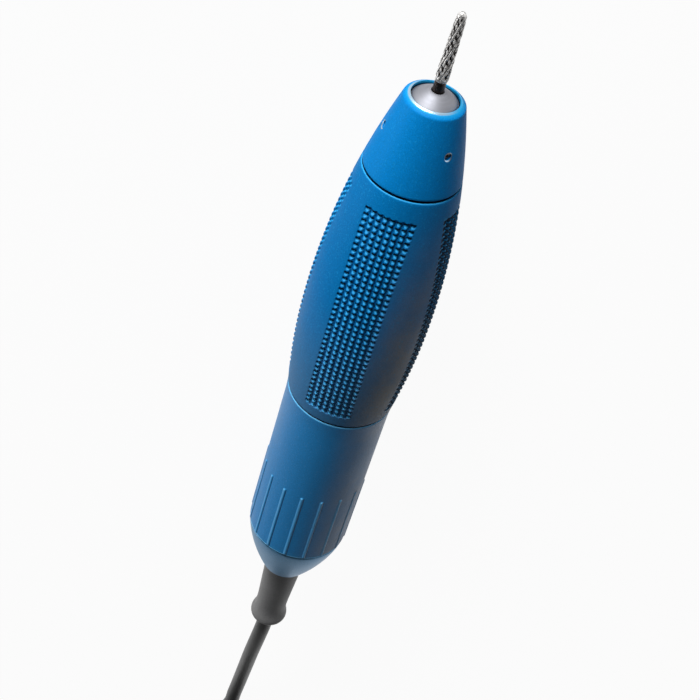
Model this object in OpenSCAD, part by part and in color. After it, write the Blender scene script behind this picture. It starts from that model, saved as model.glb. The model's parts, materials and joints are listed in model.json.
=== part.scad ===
// Hand-held micromotor tool: a motor handpiece with a twist-to-release grip,
// a collet for 2.35 mm shanks, a carbide burr and a slim electric lead.
// Stations along the tool are measured from the rear of the dome towards the nose.

/* [Housing] */
// Length of the housing, rear dome to front lip
housing_len = 150; // [149:0.5:151]
// Radius at the widest place of the grip
bulge_r = 14.2; // [14:0.1:14.6]
// Station of the widest place of the grip
bulge_s = 92; // [90:0.5:94]
// Radius of the rear barrel
barrel_r = 12.2; // [12:0.1:12.4]
// Wall of the rear barrel
barrel_wall = 1.1; // [0.9:0.1:1.3]
// Station where the dome meets the rear barrel
dome_s = 16.8; // [16:0.1:17.5]
// Station of the seam between barrel and grip
rear_seam_s = 66.7; // [66:0.1:67]
// Station of the seam between grip and nose cone
front_seam_s = 132.3; // [132:0.1:132.6]

/* [Grip panels] */
// Number of grip panels round the sleeve
panel_count = 4; // [3:1:5]
// Number of cross grooves in a panel
cross_grooves = 39; // [20:1:39]
// Distance between cross grooves
cross_pitch = 1.47; // [1.2:0.001:1.481]
// Distance between long grooves
long_pitch = 1.41; // [1.2:0.05:1.6]
// Number of rows of pyramids side by side in a panel
panel_rows = 8; // [6:1:8]
// Depth of the grooves
groove_depth = 0.6; // [0.3:0.05:0.7]

/* [Rear ribs] */
// Number of ribs round the rear barrel
rib_count = 16; // [8:1:20]
// Station where the ribs end towards the grip
rib_end_s = 39.2; // [30:0.1:42]
// Height of a rib above the barrel, so low that the ring of a holder slides over it
rib_height = 0.2; // [0.15:0.01:0.2]

/* [Burr] */
// Radius of the burr's shank, a standard size
shank_r = 1.175; // [1.175:0.005:1.18]
// Whole length of the burr
burr_len = 44.5; // [44:0.5:45]
// Length of the cutting head
head_len = 15; // [14:0.5:16]
// Radius of the head at its base
head_base_r = 1.42; // [1.3:0.02:1.5]
// Radius of the head near its tip
head_tip_r = 1.02; // [0.9:0.02:1.1]
// Number of helical teeth
teeth = 8; // [6:1:10]

/* [Lead] */
// Diameter of the lead
lead_d = 4.2; // [4.2:0.1:4.2]
// Length of the straight runs of the tied hank
run_len = 70; // [65:1:75]
// Radius of the tightest fold of the hank, on the lead's centre
fold_r = 12.6; // [12.6:0.1:13]
// Sideways step from one turn of the hank to the next
turn_step = 5; // [4.9:0.1:5.1]
// Height of one layer of the hank
layer_pitch = 4.65; // [4.65:0.01:4.8]
// How far the tie draws the runs in at the waist
waist_draw = 7; // [6:0.5:7]

/* [Motion] */
// Turn of the grip sleeve that opens the collet, in degrees
release_turn = 60; // [50:5:60]
// Travel of the release ring over that turn
release_travel = 1.2; // [1:0.1:1.2]

/* [Hidden] */
$fn = 96;
eps = 0.01;            // overlap of a cutter past the face it opens
fit_gap = 0.06;        // radial clearance of a running fit
seat_gap = 0.02;       // radial clearance of a seated ring

// Colours
blue = [0.05, 0.25, 0.42];
blue_grey = [0.32, 0.40, 0.48];
steel = [0.70, 0.71, 0.72];
dark_steel = [0.42, 0.43, 0.45];
brass = [0.78, 0.62, 0.30];
copper = [0.72, 0.42, 0.22];
rubber = [0.10, 0.10, 0.10];
plastic = [0.16, 0.16, 0.18];

// The tool lies on its bulge, its nose towards +X
boot_tip_s = -25;
burr_tip_s = housing_len + 20;
mid_s = (boot_tip_s + burr_tip_s) / 2;
lead_r = lead_d / 2;

// Outer curves of the housing
rear_fall = 0.00284;
front_fall = 0.00157;
front_power = 2.1;
dome_fall = 0.0855;
dome_power = 1.5;
function grip_r(s) = s < bulge_s
    ? bulge_r - rear_fall * pow(bulge_s - s, 2)
    : bulge_r - front_fall * pow(s - bulge_s, front_power);
function dome_r(s) = barrel_r - dome_fall * pow(dome_s + 1 - s, dome_power);
function curve(from, to, steps) = [for (i = [0 : steps]) from + (to - from) * i / steps];

module on_axis() {
    translate([-mid_s, 0, bulge_r]) rotate([0, 90, 0]) children();
}
// Puts what stands along local X at an angle about the tool, 0 on top, positive towards -Y
module at_angle(a) {
    rotate([0, 0, a + 180]) children();
}
module ring(r_out, r_in, from, to) {
    translate([0, 0, from]) difference() {
        cylinder(h = to - from, r = r_out);
        translate([0, 0, -eps]) cylinder(h = to - from + 2 * eps, r = r_in);
    }
}
module rod(r, from, to) {
    translate([0, 0, from]) cylinder(h = to - from, r = r);
}
module spun(points) {
    rotate_extrude() polygon(points);
}
module radial_rod(r, from, to, s) {
    translate([from, 0, s]) rotate([0, 90, 0]) cylinder(h = to - from, r = r, $fn = 32);
}

// ---- Rear barrel, dome and lead entry ----
barrel_bore = barrel_r - barrel_wall;
barrel_front_s = rear_seam_s - 0.15;
flare_s = 61;          // station where the barrel starts to flare towards the grip
groove_half = 0.35;    // half the width of the groove between dome and barrel
rib_r = 0.6;
rib_turn = -2.7;
module rear_barrel() {
    flare = grip_r(rear_seam_s) - barrel_r;
    rib_axis = barrel_r + rib_height - rib_r;
    rib_from = dome_s + groove_half + 0.1;
    color(blue) on_axis() union() {
        spun(concat(
            [[barrel_bore, dome_s], [barrel_r - groove_half, dome_s], [barrel_r, dome_s + groove_half]],
            [for (s = curve(flare_s, barrel_front_s, 6))
                [barrel_r + flare * pow((s - flare_s) / (rear_seam_s - flare_s), 2), s]],
            [[barrel_bore, barrel_front_s]]));
        for (i = [0 : rib_count - 1]) at_angle(rib_turn + i * 360 / rib_count) {
            translate([rib_axis, 0, rib_from]) cylinder(h = rib_end_s - rib_from, r = rib_r, $fn = 24);
            translate([rib_axis, 0, rib_end_s]) sphere(r = rib_r, $fn = 24);
        }
    }
}

dome_wall = 1.3;
cap_floor_s = 2.6;       // inside face of the cap's rear wall
cord_hole_r = 4.9;
module end_cap() {
    rim_s = dome_s - 0.05;
    color(blue_grey) on_axis() difference() {
        spun(concat(
            [[cord_hole_r, 0], [dome_r(0) - 0.5, 0], [dome_r(0.4) - 0.05, 0.4]],
            [for (s = curve(1.2, rim_s - groove_half, 16)) [dome_r(s), s]],
            [[dome_r(rim_s) - groove_half, rim_s], [barrel_bore - seat_gap, rim_s],
             [barrel_bore - seat_gap, plate_s], [barrel_bore - dome_wall, plate_s]],
            [for (s = curve(rim_s - 1.5, cap_floor_s, 8)) [dome_r(s) - dome_wall, s]],
            [[cord_hole_r, cap_floor_s]]));
    }
}

boot_root_r = 4.75;
boot_neck_r = 4;
boot_ring_r = 4.8;
flange_r = 5.55;
flange_s = 4.4;          // front of the flange that keeps the boot in the cap
module cord_boot() {
    bore = lead_r + seat_gap;
    color(rubber) on_axis() spun(concat(
        [[bore, boot_tip_s], [3, boot_tip_s], [3.9, boot_tip_s + 0.5], [4.5, boot_tip_s + 1.2],
         [boot_ring_r, boot_tip_s + 2.2], [boot_ring_r - 0.1, boot_tip_s + 3.2],
         [4.35, boot_tip_s + 4.4], [4.08, boot_tip_s + 5.6], [boot_neck_r, boot_tip_s + 7]],
        [[boot_root_r, -2.5], [boot_root_r, cap_floor_s], [flange_r, cap_floor_s],
         [flange_r, flange_s], [bore, flange_s]]));
}
module lead_inlet() {
    color(plastic) on_axis() rod(lead_r, boot_tip_s, board_s);
}
module lead_ferrule() {
    ferrule_r = 3.4;
    ferrule_to = 9.5;
    color(brass) on_axis() ring(ferrule_r, lead_r + seat_gap, flange_s, ferrule_to);
}
board_s = 13.5;
board_t = 1.6;
board_r = 9.2;
post_x = 5;
post_len = 0.6;
module terminal_board() {
    color([0.15, 0.35, 0.2]) on_axis() {
        ring(board_r, 1.2, board_s, board_s + board_t);
        for (a = [0, 180]) at_angle(a)
            translate([post_x, 0, board_s + board_t - eps]) cylinder(h = post_len + eps, r = 1, $fn = 32);
    }
}
module motor_leads() {
    from = board_s + board_t + post_len;
    color(copper) on_axis() for (a = [0, 180]) at_angle(a)
        translate([post_x, 0, from]) cylinder(h = plate_s - from, r = 0.6, $fn = 24);
}

// ---- Motor ----
plate_s = 18.6;
plate_t = 2.4;
can_r = barrel_bore - 0.15;
can_from = plate_s + plate_t;
can_to = 60;
can_wall = 0.8;
shaft_r = 1.5;
bush_r = 3.5;
module motor_can() {
    color(dark_steel) on_axis() difference() {
        rod(can_r, can_from, can_to);
        rod(can_r - can_wall, can_from - eps, can_to - 1.4);
        rod(bush_r + seat_gap, can_to - 2, can_to + eps);
    }
}
magnet_from = 29;
magnet_to = 55;
magnet_bore = 9;
magnet_span = 130;
module motor_magnets() {
    color([0.2, 0.2, 0.22]) on_axis() for (a = [0, 180]) rotate([0, 0, a - magnet_span / 2])
        translate([0, 0, magnet_from]) rotate_extrude(angle = magnet_span)
            translate([magnet_bore, 0])
                square([can_r - can_wall - magnet_bore - seat_gap, magnet_to - magnet_from]);
}
module brush_plate() {
    holder_len = 5.4;
    holder_h = 7.6;
    pocket = [5.95, brush_size[1] + 0.1, brush_size[2] + 0.1];
    color(plastic) on_axis() difference() {
        union() {
            rod(can_r, plate_s, plate_s + plate_t);
            rod(5, plate_s, plate_s + plate_t + 1.4);
            for (a = [0, 180]) rotate([0, 0, a])
                translate([4, -2.2, plate_s + plate_t - eps]) cube([holder_len, 4.4, holder_h]);
        }
        rod(bush_r + seat_gap, plate_s - eps, plate_s + plate_t + 9);
        for (a = [0, 180]) rotate([0, 0, a])
            translate([3, -pocket[1] / 2, brush_s - pocket[2] / 2]) cube(pocket);
    }
}
brush_s = 26.6;
brush_size = [4.2, 2.6, 3];
commutator_r = 3;
module brushes() {
    color([0.12, 0.12, 0.12]) on_axis() for (a = [0, 180]) rotate([0, 0, a])
        translate([commutator_r + fit_gap, -brush_size[1] / 2, brush_s - brush_size[2] / 2]) cube(brush_size);
}
module brush_springs() {
    from = commutator_r + fit_gap + brush_size[0];
    washer = 0.42;
    color(steel) on_axis() for (a = [0, 180]) rotate([0, 0, a])
        for (i = [0 : 3]) translate([from + washer * i, 0, brush_s]) rotate([0, 90, 0])
            cylinder(h = washer + (i < 3 ? eps : 0), r = i % 2 == 0 ? 1 : 0.75, $fn = 32);
}
module motor_bushes() {
    color(brass) on_axis() {
        ring(bush_r, shaft_r + 0.03, plate_s, plate_s + 3.4);
        ring(bush_r, shaft_r + 0.03, can_to - 1.4, can_to + 1.2);
    }
}
motor_shaft_from = 17.2;
motor_shaft_to = 67.6;
module motor_shaft() {
    color(steel) on_axis() rod(shaft_r, motor_shaft_from, motor_shaft_to);
}
core_from = 32;
core_to = 52;
core_r = 8.6;
slot_count = 5;
slot_pitch_r = 6.2;
slot_r = 1.6;
module armature_core() {
    color(dark_steel) on_axis() difference() {
        ring(core_r, shaft_r, core_from, core_to);
        for (i = [0 : slot_count - 1]) rotate([0, 0, i * 360 / slot_count]) {
            translate([slot_pitch_r, 0, core_from - eps])
                cylinder(h = core_to - core_from + 2 * eps, r = slot_r, $fn = 32);
            translate([slot_pitch_r, -0.4, core_from - eps])
                cube([core_r, 0.8, core_to - core_from + 2 * eps]);
        }
    }
}
module armature_windings() {
    end_turn = 2.3;
    color(copper) on_axis() {
        for (i = [0 : slot_count - 1]) rotate([0, 0, i * 360 / slot_count])
            translate([slot_pitch_r, 0, core_from - 1])
                cylinder(h = core_to - core_from + 2, r = slot_r - 0.1, $fn = 32);
        rear = core_from - end_turn;
        spun([[2.6, rear + 0.6], [3.2, rear], [7, rear], [7.9, rear + 0.8],
              [7.9, core_from - seat_gap], [2.6, core_from - seat_gap]]);
        front = core_to + end_turn;
        spun([[2.6, core_to + seat_gap], [7.9, core_to + seat_gap], [7.9, front - 0.8],
              [7, front], [3.2, front], [2.6, front - 0.6]]);
    }
}
module commutator() {
    color(copper) on_axis() difference() {
        ring(commutator_r, shaft_r, brush_s - 1.9, brush_s + 1.9);
        for (i = [0 : slot_count - 1]) rotate([0, 0, (i + 0.5) * 360 / slot_count])
            translate([commutator_r - 0.6, -0.15, brush_s - 2]) cube([2, 0.3, 4]);
    }
}

// ---- Drive coupling ----
coupling_r = 4.6;
jaw_r = 4.45;
jaw_root = 2;
jaw_span = 62;
jaw_from = 68;
jaw_to = 71.6;
jaw_sunk = 0.15;       // how far each jaw is set into its hub
hub_from = 63.4;
hub_to = 75;
module jaws(first_angle, from, to) {
    for (a = [0, 180]) rotate([0, 0, first_angle + a - jaw_span / 2]) translate([0, 0, from])
        rotate_extrude(angle = jaw_span) translate([jaw_root, 0]) square([jaw_r - jaw_root, to - from]);
}
module motor_coupling() {
    color(steel) on_axis() {
        spun([[shaft_r, hub_from], [coupling_r, hub_from], [coupling_r, jaw_from], [0, jaw_from],
              [0, motor_shaft_to], [shaft_r, motor_shaft_to]]);
        jaws(0, jaw_from - jaw_sunk, jaw_to);
    }
}
tail_r = 2;
spindle_from = 72.2;
module spindle_coupling() {
    face = spindle_from - 0.2;
    color(steel) on_axis() {
        spun([[0, face], [coupling_r, face], [coupling_r, hub_to], [tail_r, hub_to],
              [tail_r, spindle_from], [0, spindle_from]]);
        jaws(90, jaw_from + 0.4, face + jaw_sunk);
    }
}
module coupling_spider() {
    leg = 90 - jaw_span - 2;
    spider_t = 2.8;
    color([0.6, 0.12, 0.1]) on_axis() translate([0, 0, jaw_from + 0.5]) {
        cylinder(h = spider_t, r = 1.7);
        for (i = [0 : 3]) rotate([0, 0, 45 + 90 * i - leg / 2])
            rotate_extrude(angle = leg) translate([1.6, 0]) square([coupling_r - 1.8, spider_t]);
    }
}

// ---- Spindle, its bearings and the housing that holds them ----
rear_journal_r = 2.5;
mid_r = 3.2;
front_journal_r = 4;
bore_r = 2;
bore_from = 91;
cone_from = 140;
cone_to = 146.4;
cone_r = 3;
slot_from = 92.9;
slot_to = 96;
slot_w = 1.7;
module spindle() {
    color(steel) on_axis() difference() {
        spun([[0, spindle_from], [tail_r, spindle_from], [tail_r, 75.2], [rear_journal_r, 75.2],
              [rear_journal_r, 83], [mid_r, 83], [mid_r, 118], [front_journal_r + 0.8, 118.4],
              [front_journal_r + 0.8, 120.4], [front_journal_r, 120.4], [front_journal_r, 144],
              [3.5, 144], [3.5, cone_to], [0, cone_to]]);
        spun([[0, bore_from], [bore_r, bore_from], [bore_r, cone_from],
              [cone_r, cone_to + eps], [0, cone_to + eps]]);
        for (a = [0, 180]) at_angle(a)
            translate([bore_r - 0.5, -slot_w / 2, slot_from]) cube([2, slot_w, slot_to - slot_from]);
    }
}
stop_s = 112;
module spring_stop() {
    color(brass) on_axis() ring(bore_r, 1.1, stop_s, stop_s + 2);
}
bar_head_to = 96.2;
spring_from = bar_head_to + 1.1;
washer_count = 12;
module draw_spring() {
    step = (stop_s - spring_from) / washer_count;
    color(steel) on_axis() spun(concat(
        [[1.15, spring_from], [1.15, stop_s]],
        [for (i = [washer_count : -1 : 0])
            [bore_r - (i % 2 == 0 ? 0.1 : 0.4), spring_from + i * step]]));
}
housing_r = 8.3;
thread_r = barrel_bore - 0.02;
front_seat_r = 7;
rear_seat_r = 5.5;
mid_bore_r = 5.9;
ring_pin_s = 91.4;
pin_r = 0.95;
pin_slot = 2.1;
module spindle_housing() {
    color(steel) on_axis() difference() {
        spun([[6.6, can_to], [thread_r, can_to], [thread_r, 66.3], [housing_r, 66.3], [housing_r, 139.3],
              [front_seat_r, 139.3], [front_seat_r, 120.5], [mid_bore_r, 120.5], [mid_bore_r, 83.6],
              [4.6, 83.6], [4.6, 82.1], [rear_seat_r, 82.1], [rear_seat_r, 77.8], [6.6, 77.8]]);
        for (s = seal_stations) translate([0, 0, s]) rotate_extrude()
            translate([seal_pitch_r, 0]) circle(r = seal_r + seat_gap, $fn = 32);
        rod(6.9, circlip_s, circlip_s + circlip_t);
        for (a = [0, 180]) at_angle(a)
            translate([mid_bore_r - 1, -pin_slot / 2, ring_pin_s - pin_slot / 2])
                cube([4, pin_slot, pin_slot + release_travel + 0.1]);
        at_angle(90) radial_rod(ball_r + 0.05, mid_bore_r - 1, housing_r + 1, detent_s);
    }
}
module bearing_nut() {
    color(dark_steel) on_axis() spun([[4.5, 132.5], [front_seat_r - seat_gap, 132.5],
        [front_seat_r - seat_gap, 139.3], [6.05, 139.3], [6.05, 144], [4.5, 144]]);
}
race_gap = 0.06;
race_lip = 0.55;         // part of the ball's radius that a race leaves open
module ball_track(pitch, ball, s) {
    translate([0, 0, s]) rotate_extrude() translate([pitch, 0]) circle(r = ball + race_gap, $fn = 48);
}
module outer_race(r_out, pitch, ball, from, w) {
    difference() {
        ring(r_out, pitch + ball * race_lip, from, from + w);
        ball_track(pitch, ball, from + w / 2);
    }
}
module inner_race(r_in, pitch, ball, from, w) {
    difference() {
        ring(pitch - ball * race_lip, r_in, from, from + w);
        ball_track(pitch, ball, from + w / 2);
    }
}
module ball_cage(pitch, ball, count, s) {
    half_t = 0.3;
    half_w = 0.35;
    ring(pitch + half_t, pitch - half_t, s - half_w, s + half_w);
    for (i = [0 : count - 1]) rotate([0, 0, i * 360 / count])
        translate([pitch, 0, s]) sphere(r = ball, $fn = 32);
}
front_pitch = 5.5;
front_ball = 0.95;
front_rows = [120.5, 128.5];
race_w = 4;
rear_pitch = 4;
rear_ball = 0.8;
rear_row = 78.1;
module front_bearing_outers() {
    color(steel) on_axis() for (s = front_rows)
        outer_race(front_seat_r - seat_gap, front_pitch, front_ball, s, race_w);
}
module front_bearing_inners() {
    color(steel) on_axis() for (s = front_rows)
        inner_race(front_journal_r, front_pitch, front_ball, s, race_w);
}
module front_ball_cages() {
    color(brass) on_axis() for (s = front_rows) ball_cage(front_pitch, front_ball, 9, s + race_w / 2);
}
module rear_bearing_outer() {
    color(steel) on_axis() outer_race(rear_seat_r - seat_gap, rear_pitch, rear_ball, rear_row, race_w);
}
module rear_bearing_inner() {
    color(steel) on_axis() inner_race(rear_journal_r, rear_pitch, rear_ball, rear_row, race_w);
}
module rear_ball_cage() {
    color(brass) on_axis() ball_cage(rear_pitch, rear_ball, 8, rear_row + race_w / 2);
}
module bearing_spacers() {
    bore = 6.2;
    color(steel) on_axis() ring(front_seat_r - seat_gap, bore, front_rows[0] + race_w, front_rows[1]);
}
module preload_washer() {
    from = circlip_s + circlip_t;
    t = 0.3;
    rim = rear_seat_r - 0.05;
    color(steel) on_axis() spun([[4.8, rear_row - t], [rim, from], [rim, from + t], [4.8, rear_row]]);
}
circlip_s = 76;
circlip_t = 1;
module bearing_circlip() {
    color(dark_steel) on_axis() difference() {
        ring(6.88, 5, circlip_s, circlip_s + circlip_t);
        translate([0, -0.8, circlip_s - eps]) cube([8, 1.6, circlip_t + 2 * eps]);
    }
}

// ---- Collet and burr ----
shank_end_s = burr_tip_s - burr_len;
head_s = burr_tip_s - head_len;
draw_pin_s = 94;
draw_pin_r = 0.7;
collet_s = 118;
module draw_bar() {
    color(dark_steel) on_axis() difference() {
        union() {
            rod(bore_r - 0.08, 92, bar_head_to);
            rod(1, bar_head_to - eps, collet_s);
        }
        at_angle(0) radial_rod(draw_pin_r, -3, 3, draw_pin_s);
    }
}
module draw_pin() {
    color(steel) on_axis() at_angle(0) radial_rod(draw_pin_r, -4.9, 4.9, draw_pin_s);
}
collet_bore = shank_r + 0.025;
module collet() {
    color(steel) on_axis() difference() {
        spun([[0, collet_s], [bore_r - 0.05, collet_s], [bore_r - 0.05, cone_from],
              [cone_r - 0.12, cone_to - 0.5], [cone_r - 0.3, cone_to - 0.2], [0, cone_to - 0.2]]);
        rod(collet_bore, shank_end_s - 1, cone_to);
        for (i = [0 : 2]) rotate([0, 0, 60 + 120 * i])
            translate([0, -0.2, 130]) cube([4, 0.4, cone_to - 129]);
    }
}
module burr_shank() {
    color(dark_steel) on_axis() spun([[0, shank_end_s], [shank_r - 0.2, shank_end_s],
        [shank_r, shank_end_s + 0.3], [shank_r, head_s], [0, head_s]]);
}
// The cutting head: a tapered round bar whose helical teeth are cut across by a finer, opposite helix
head_sides = 48;
head_rings = 22;
tooth_depth = 0.3;
notch_depth = 0.14;
function saw(x) = x - floor(x);
function head_envelope(u) = u < 0.04 ? head_base_r - 0.2 + 5 * u
    : u > 0.9 ? head_tip_r * sqrt(max(0, 1 - pow((u - 0.9) / 0.1, 2))) + 0.12
    : head_base_r + (head_tip_r - head_base_r) * u;
function head_radius(u, a) = let (
        tooth = saw(teeth * a / 360 + 1.2 * u),
        notch = saw(-teeth * a / 360 + 7 * u),
        run_out = min(1, 8 * u, 14 * (1 - u) + 0.15))
    head_envelope(u) - (tooth_depth * (1 - tooth) + notch_depth * (notch < 0.3 ? 1 : 0)) * run_out;
module burr_head() {
    n = head_sides;
    rows = head_rings;
    points = concat(
        [for (i = [0 : rows], j = [0 : n - 1]) let (u = i / rows, a = 360 * j / n, r = head_radius(u, a))
            [r * cos(a), r * sin(a), head_s + head_len * u]],
        [[0, 0, head_s], [0, 0, burr_tip_s]]);
    last = n * (rows + 1);
    color(steel) on_axis() polyhedron(points, concat(
        [for (i = [0 : rows - 1], j = [0 : n - 1]) let (k = (j + 1) % n)
            [i * n + j, (i + 1) * n + j, (i + 1) * n + k]],
        [for (i = [0 : rows - 1], j = [0 : n - 1]) let (k = (j + 1) % n)
            [i * n + j, (i + 1) * n + k, i * n + k]],
        [for (j = [0 : n - 1]) [last, j, (j + 1) % n]],
        [for (j = [0 : n - 1]) [last + 1, rows * n + (j + 1) % n, rows * n + j]]));
}
disc_r = 4.8;
disc_front = 149.98;
module dust_disc() {
    color(steel) on_axis() spun([[shank_r + 0.15, 147.4], [4.1, 147.4], [4.1, 145], [3.52, 145],
        [3.52, 144.6], [4.5, 144.6], [4.5, 147], [disc_r, 147],
        [disc_r, disc_front - 0.62], [disc_r - 0.22, disc_front - 0.4], [3.6, disc_front - 0.15],
        [2.2, disc_front - 0.03], [shank_r + 0.15, disc_front]]);
}

// ---- Nose cone ----
mouth_r = 5.2;
mouth_bevel = 0.28;
cone_rear_s = front_seam_s + 0.25;
screw_angles = [45, 165, -75];
screw_s = 142;
module nose_cone() {
    lip = 0.5;
    color(blue) on_axis() difference() {
        spun(concat(
            [[housing_r + seat_gap, cone_rear_s], [grip_r(cone_rear_s) - 0.25, cone_rear_s],
             [grip_r(cone_rear_s + 0.25), cone_rear_s + 0.25]],
            [for (s = curve(cone_rear_s + 1.5, housing_len - 1.2, 12)) [grip_r(s), s]],
            [for (a = [25 : 15 : 90]) [grip_r(housing_len) - lip + lip * cos(a) + 0.18 * (1 - a / 90),
                                     housing_len - lip + lip * sin(a)]],
            [[mouth_r + mouth_bevel, housing_len], [mouth_r, housing_len - mouth_bevel],
             [mouth_r, 146.4], [6.1, 146.4], [6.1, 139.4],
             [housing_r + seat_gap, 139.4]]));
        for (a = screw_angles) at_angle(a) {
            radial_rod(0.8, 5, 12, screw_s);
            translate([grip_r(screw_s) - 0.35, 0, screw_s]) rotate([0, 90, 0])
                cylinder(h = 1, r1 = 0.7, r2 = 1.3, $fn = 32);
        }
    }
}
module nose_screws() {
    color(dark_steel) on_axis() for (a = screw_angles) at_angle(a) difference() {
        radial_rod(0.78, 6.06, grip_r(screw_s) - 0.45, screw_s);
        translate([grip_r(screw_s) - 1.1, 0, screw_s]) rotate([0, 90, 0]) cylinder(h = 1, r = 0.4, $fn = 6);
    }
}

// ---- Grip sleeve with its panels of small pyramids ----
skin_bore = 10.2;
lip_bore = 9;
lip_s = 127.6;
panel_from = rear_seam_s + 4.17;
half_pitch = cross_pitch / 2;
plain_steps = 4;
skin_cols = panel_rows + plain_steps;    // divisions of the skin in one repeat of panel and plain strip
// Rows of the skin: end rings, then every groove and every ridge of the panels
panel_to = panel_from + cross_pitch * (cross_grooves - 1);
skin_stations = concat(
    [rear_seam_s + 0.25, rear_seam_s + 0.65],
    [for (i = [-1 : 2 * cross_grooves - 1]) panel_from + half_pitch * i],
    [front_seam_s - 1.4, front_seam_s - 0.55, front_seam_s - 0.2]);
skin_rows = len(skin_stations);
// Angle of column c, measured from the middle of the first panel
function panel_half_angle(s) = asin(panel_rows * long_pitch / 2 / grip_r(s));
function column_angle(c, s) = let (
        repeat = floor(c / skin_cols),
        k = c - repeat * skin_cols,
        half = panel_half_angle(s),
        whole = 360 / panel_count)
    repeat * whole + (k <= panel_rows
        ? -half + 2 * half * k / panel_rows
        : half + (whole - 2 * half) * (k - panel_rows) / plain_steps);
function end_chamfer(i) = i == 0 || i == skin_rows - 1 ? 0.3 : 0;
function skin_point(i, c, depth) = let (s = skin_stations[i], a = column_angle(c, s) + panel_turn,
        r = grip_r(s) - end_chamfer(i) - depth)
    [r * cos(a), r * sin(a), s];
panel_turn = 173.55;
module grip_sleeve() {
    cols = skin_cols * panel_count;
    // Corner rows: the end rings and the grooves; ridges only hold the apexes of pyramids
    corner = concat([0, 1, 2], [for (k = [0 : cross_grooves - 1]) 3 + 2 * k],
                    [for (k = [0 : 3]) skin_rows - 4 + k]);
    rows = len(corner);
    function in_panel(r, c) = r >= 2 && r <= rows - 5 && c % skin_cols < panel_rows;
    function depth(r, c) = let (k = c % skin_cols)
        r >= 3 && r <= rows - 5 && k > 0 && k < panel_rows ? groove_depth : 0;
    outer = [for (r = [0 : rows - 1], c = [0 : cols - 1]) skin_point(corner[r], c, depth(r, c))];
    cells = [for (r = [2 : rows - 5], c = [0 : cols - 1]) if (in_panel(r, c)) [r, c]];
    apexes = [for (cell = cells) let (
            s = (skin_stations[corner[cell[0]]] + skin_stations[corner[cell[0] + 1]]) / 2,
            a = (column_angle(cell[1], s) + column_angle(cell[1] + 1, s)) / 2 + panel_turn,
            r = grip_r(s) - 0.05)
        [r * cos(a), r * sin(a), s]];
    first_apex = len(outer);
    first_inner = first_apex + len(apexes);
    inner_shape = [[skin_bore, skin_stations[0]], [skin_bore, lip_s], [lip_bore, lip_s],
                   [lip_bore, skin_stations[skin_rows - 1]]];
    inner = [for (p = inner_shape, c = [0 : cols - 1]) let (a = column_angle(c, bulge_s) + panel_turn)
        [p[0] * cos(a), p[0] * sin(a), p[1]]];
    function at(r, c) = r * cols + c % cols;
    function inn(p, c) = first_inner + p * cols + c % cols;
    plain = [for (r = [0 : rows - 2], c = [0 : cols - 1]) if (!in_panel(r, c)) [r, c]];
    last = rows - 1;
    color(blue) on_axis() polyhedron(concat(outer, apexes, inner), concat(
        [for (q = plain) [at(q[0], q[1]), at(q[0] + 1, q[1]), at(q[0] + 1, q[1] + 1)]],
        [for (q = plain) [at(q[0], q[1]), at(q[0] + 1, q[1] + 1), at(q[0], q[1] + 1)]],
        [for (i = [0 : len(cells) - 1]) let (r = cells[i][0], c = cells[i][1])
            [at(r, c), at(r + 1, c), first_apex + i]],
        [for (i = [0 : len(cells) - 1]) let (r = cells[i][0], c = cells[i][1])
            [at(r + 1, c), at(r + 1, c + 1), first_apex + i]],
        [for (i = [0 : len(cells) - 1]) let (r = cells[i][0], c = cells[i][1])
            [at(r + 1, c + 1), at(r, c + 1), first_apex + i]],
        [for (i = [0 : len(cells) - 1]) let (r = cells[i][0], c = cells[i][1])
            [at(r, c + 1), at(r, c), first_apex + i]],
        [for (c = [0 : cols - 1]) [at(0, c), at(0, c + 1), inn(0, c + 1)]],
        [for (c = [0 : cols - 1]) [at(0, c), inn(0, c + 1), inn(0, c)]],
        [for (c = [0 : cols - 1]) [at(last, c + 1), at(last, c), inn(3, c)]],
        [for (c = [0 : cols - 1]) [at(last, c + 1), inn(3, c), inn(3, c + 1)]],
        [for (p = [0 : 2], c = [0 : cols - 1]) [inn(p, c), inn(p, c + 1), inn(p + 1, c + 1)]],
        [for (p = [0 : 2], c = [0 : cols - 1]) [inn(p, c), inn(p + 1, c + 1), inn(p + 1, c)]]));
}
liner_r = 10.1;
liner_bore = 9.35;
liner_from = 68;
liner_to = lip_s;
cam_steps = 12;
module cam_liner() {
    color(steel) on_axis() difference() {
        ring(liner_r, liner_bore, liner_from, liner_to);
        // Cam slots: the pins of the release ring climb along them as the sleeve turns
        for (a = [0, 180], i = [0 : cam_steps]) let (part = i / cam_steps)
            at_angle(a - release_turn * part)
                radial_rod(pin_r + 0.16, liner_bore - 1, liner_r + 1, ring_pin_s + release_travel * part);
        for (t = [0, release_turn]) at_angle(90 - t)
            translate([ball_x + 0.3, 0, detent_s]) sphere(r = ball_r + 0.05, $fn = 48);
    }
}
bush_stations = [[68.2, 73.2], [121, 126.2]];
module sleeve_bushes() {
    color(brass) on_axis() for (b = bush_stations)
        ring(liner_bore - seat_gap, housing_r + fit_gap, b[0], b[1]);
}
seal_stations = [77, 117];
seal_pitch_r = 8.55;
seal_r = 0.6;
module sleeve_seals() {
    color(rubber) on_axis() for (s = seal_stations) translate([0, 0, s]) rotate_extrude()
        translate([seal_pitch_r, 0]) circle(r = seal_r, $fn = 32);
}
ball_r = 1.7;
ball_x = 7.6;
detent_s = 110;
module detent_ball() {
    color(steel) on_axis() at_angle(90) translate([ball_x, 0, detent_s]) sphere(r = ball_r, $fn = 48);
}
module detent_spring() {
    color(steel) on_axis() difference() {
        ring(mid_bore_r - seat_gap, 5.5, detent_s - 1.2, detent_s + 1.2);
        at_angle(-90) translate([4, -1, detent_s - 2]) cube([3, 2, 4]);
    }
}
collar_r = 5.6;
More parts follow.
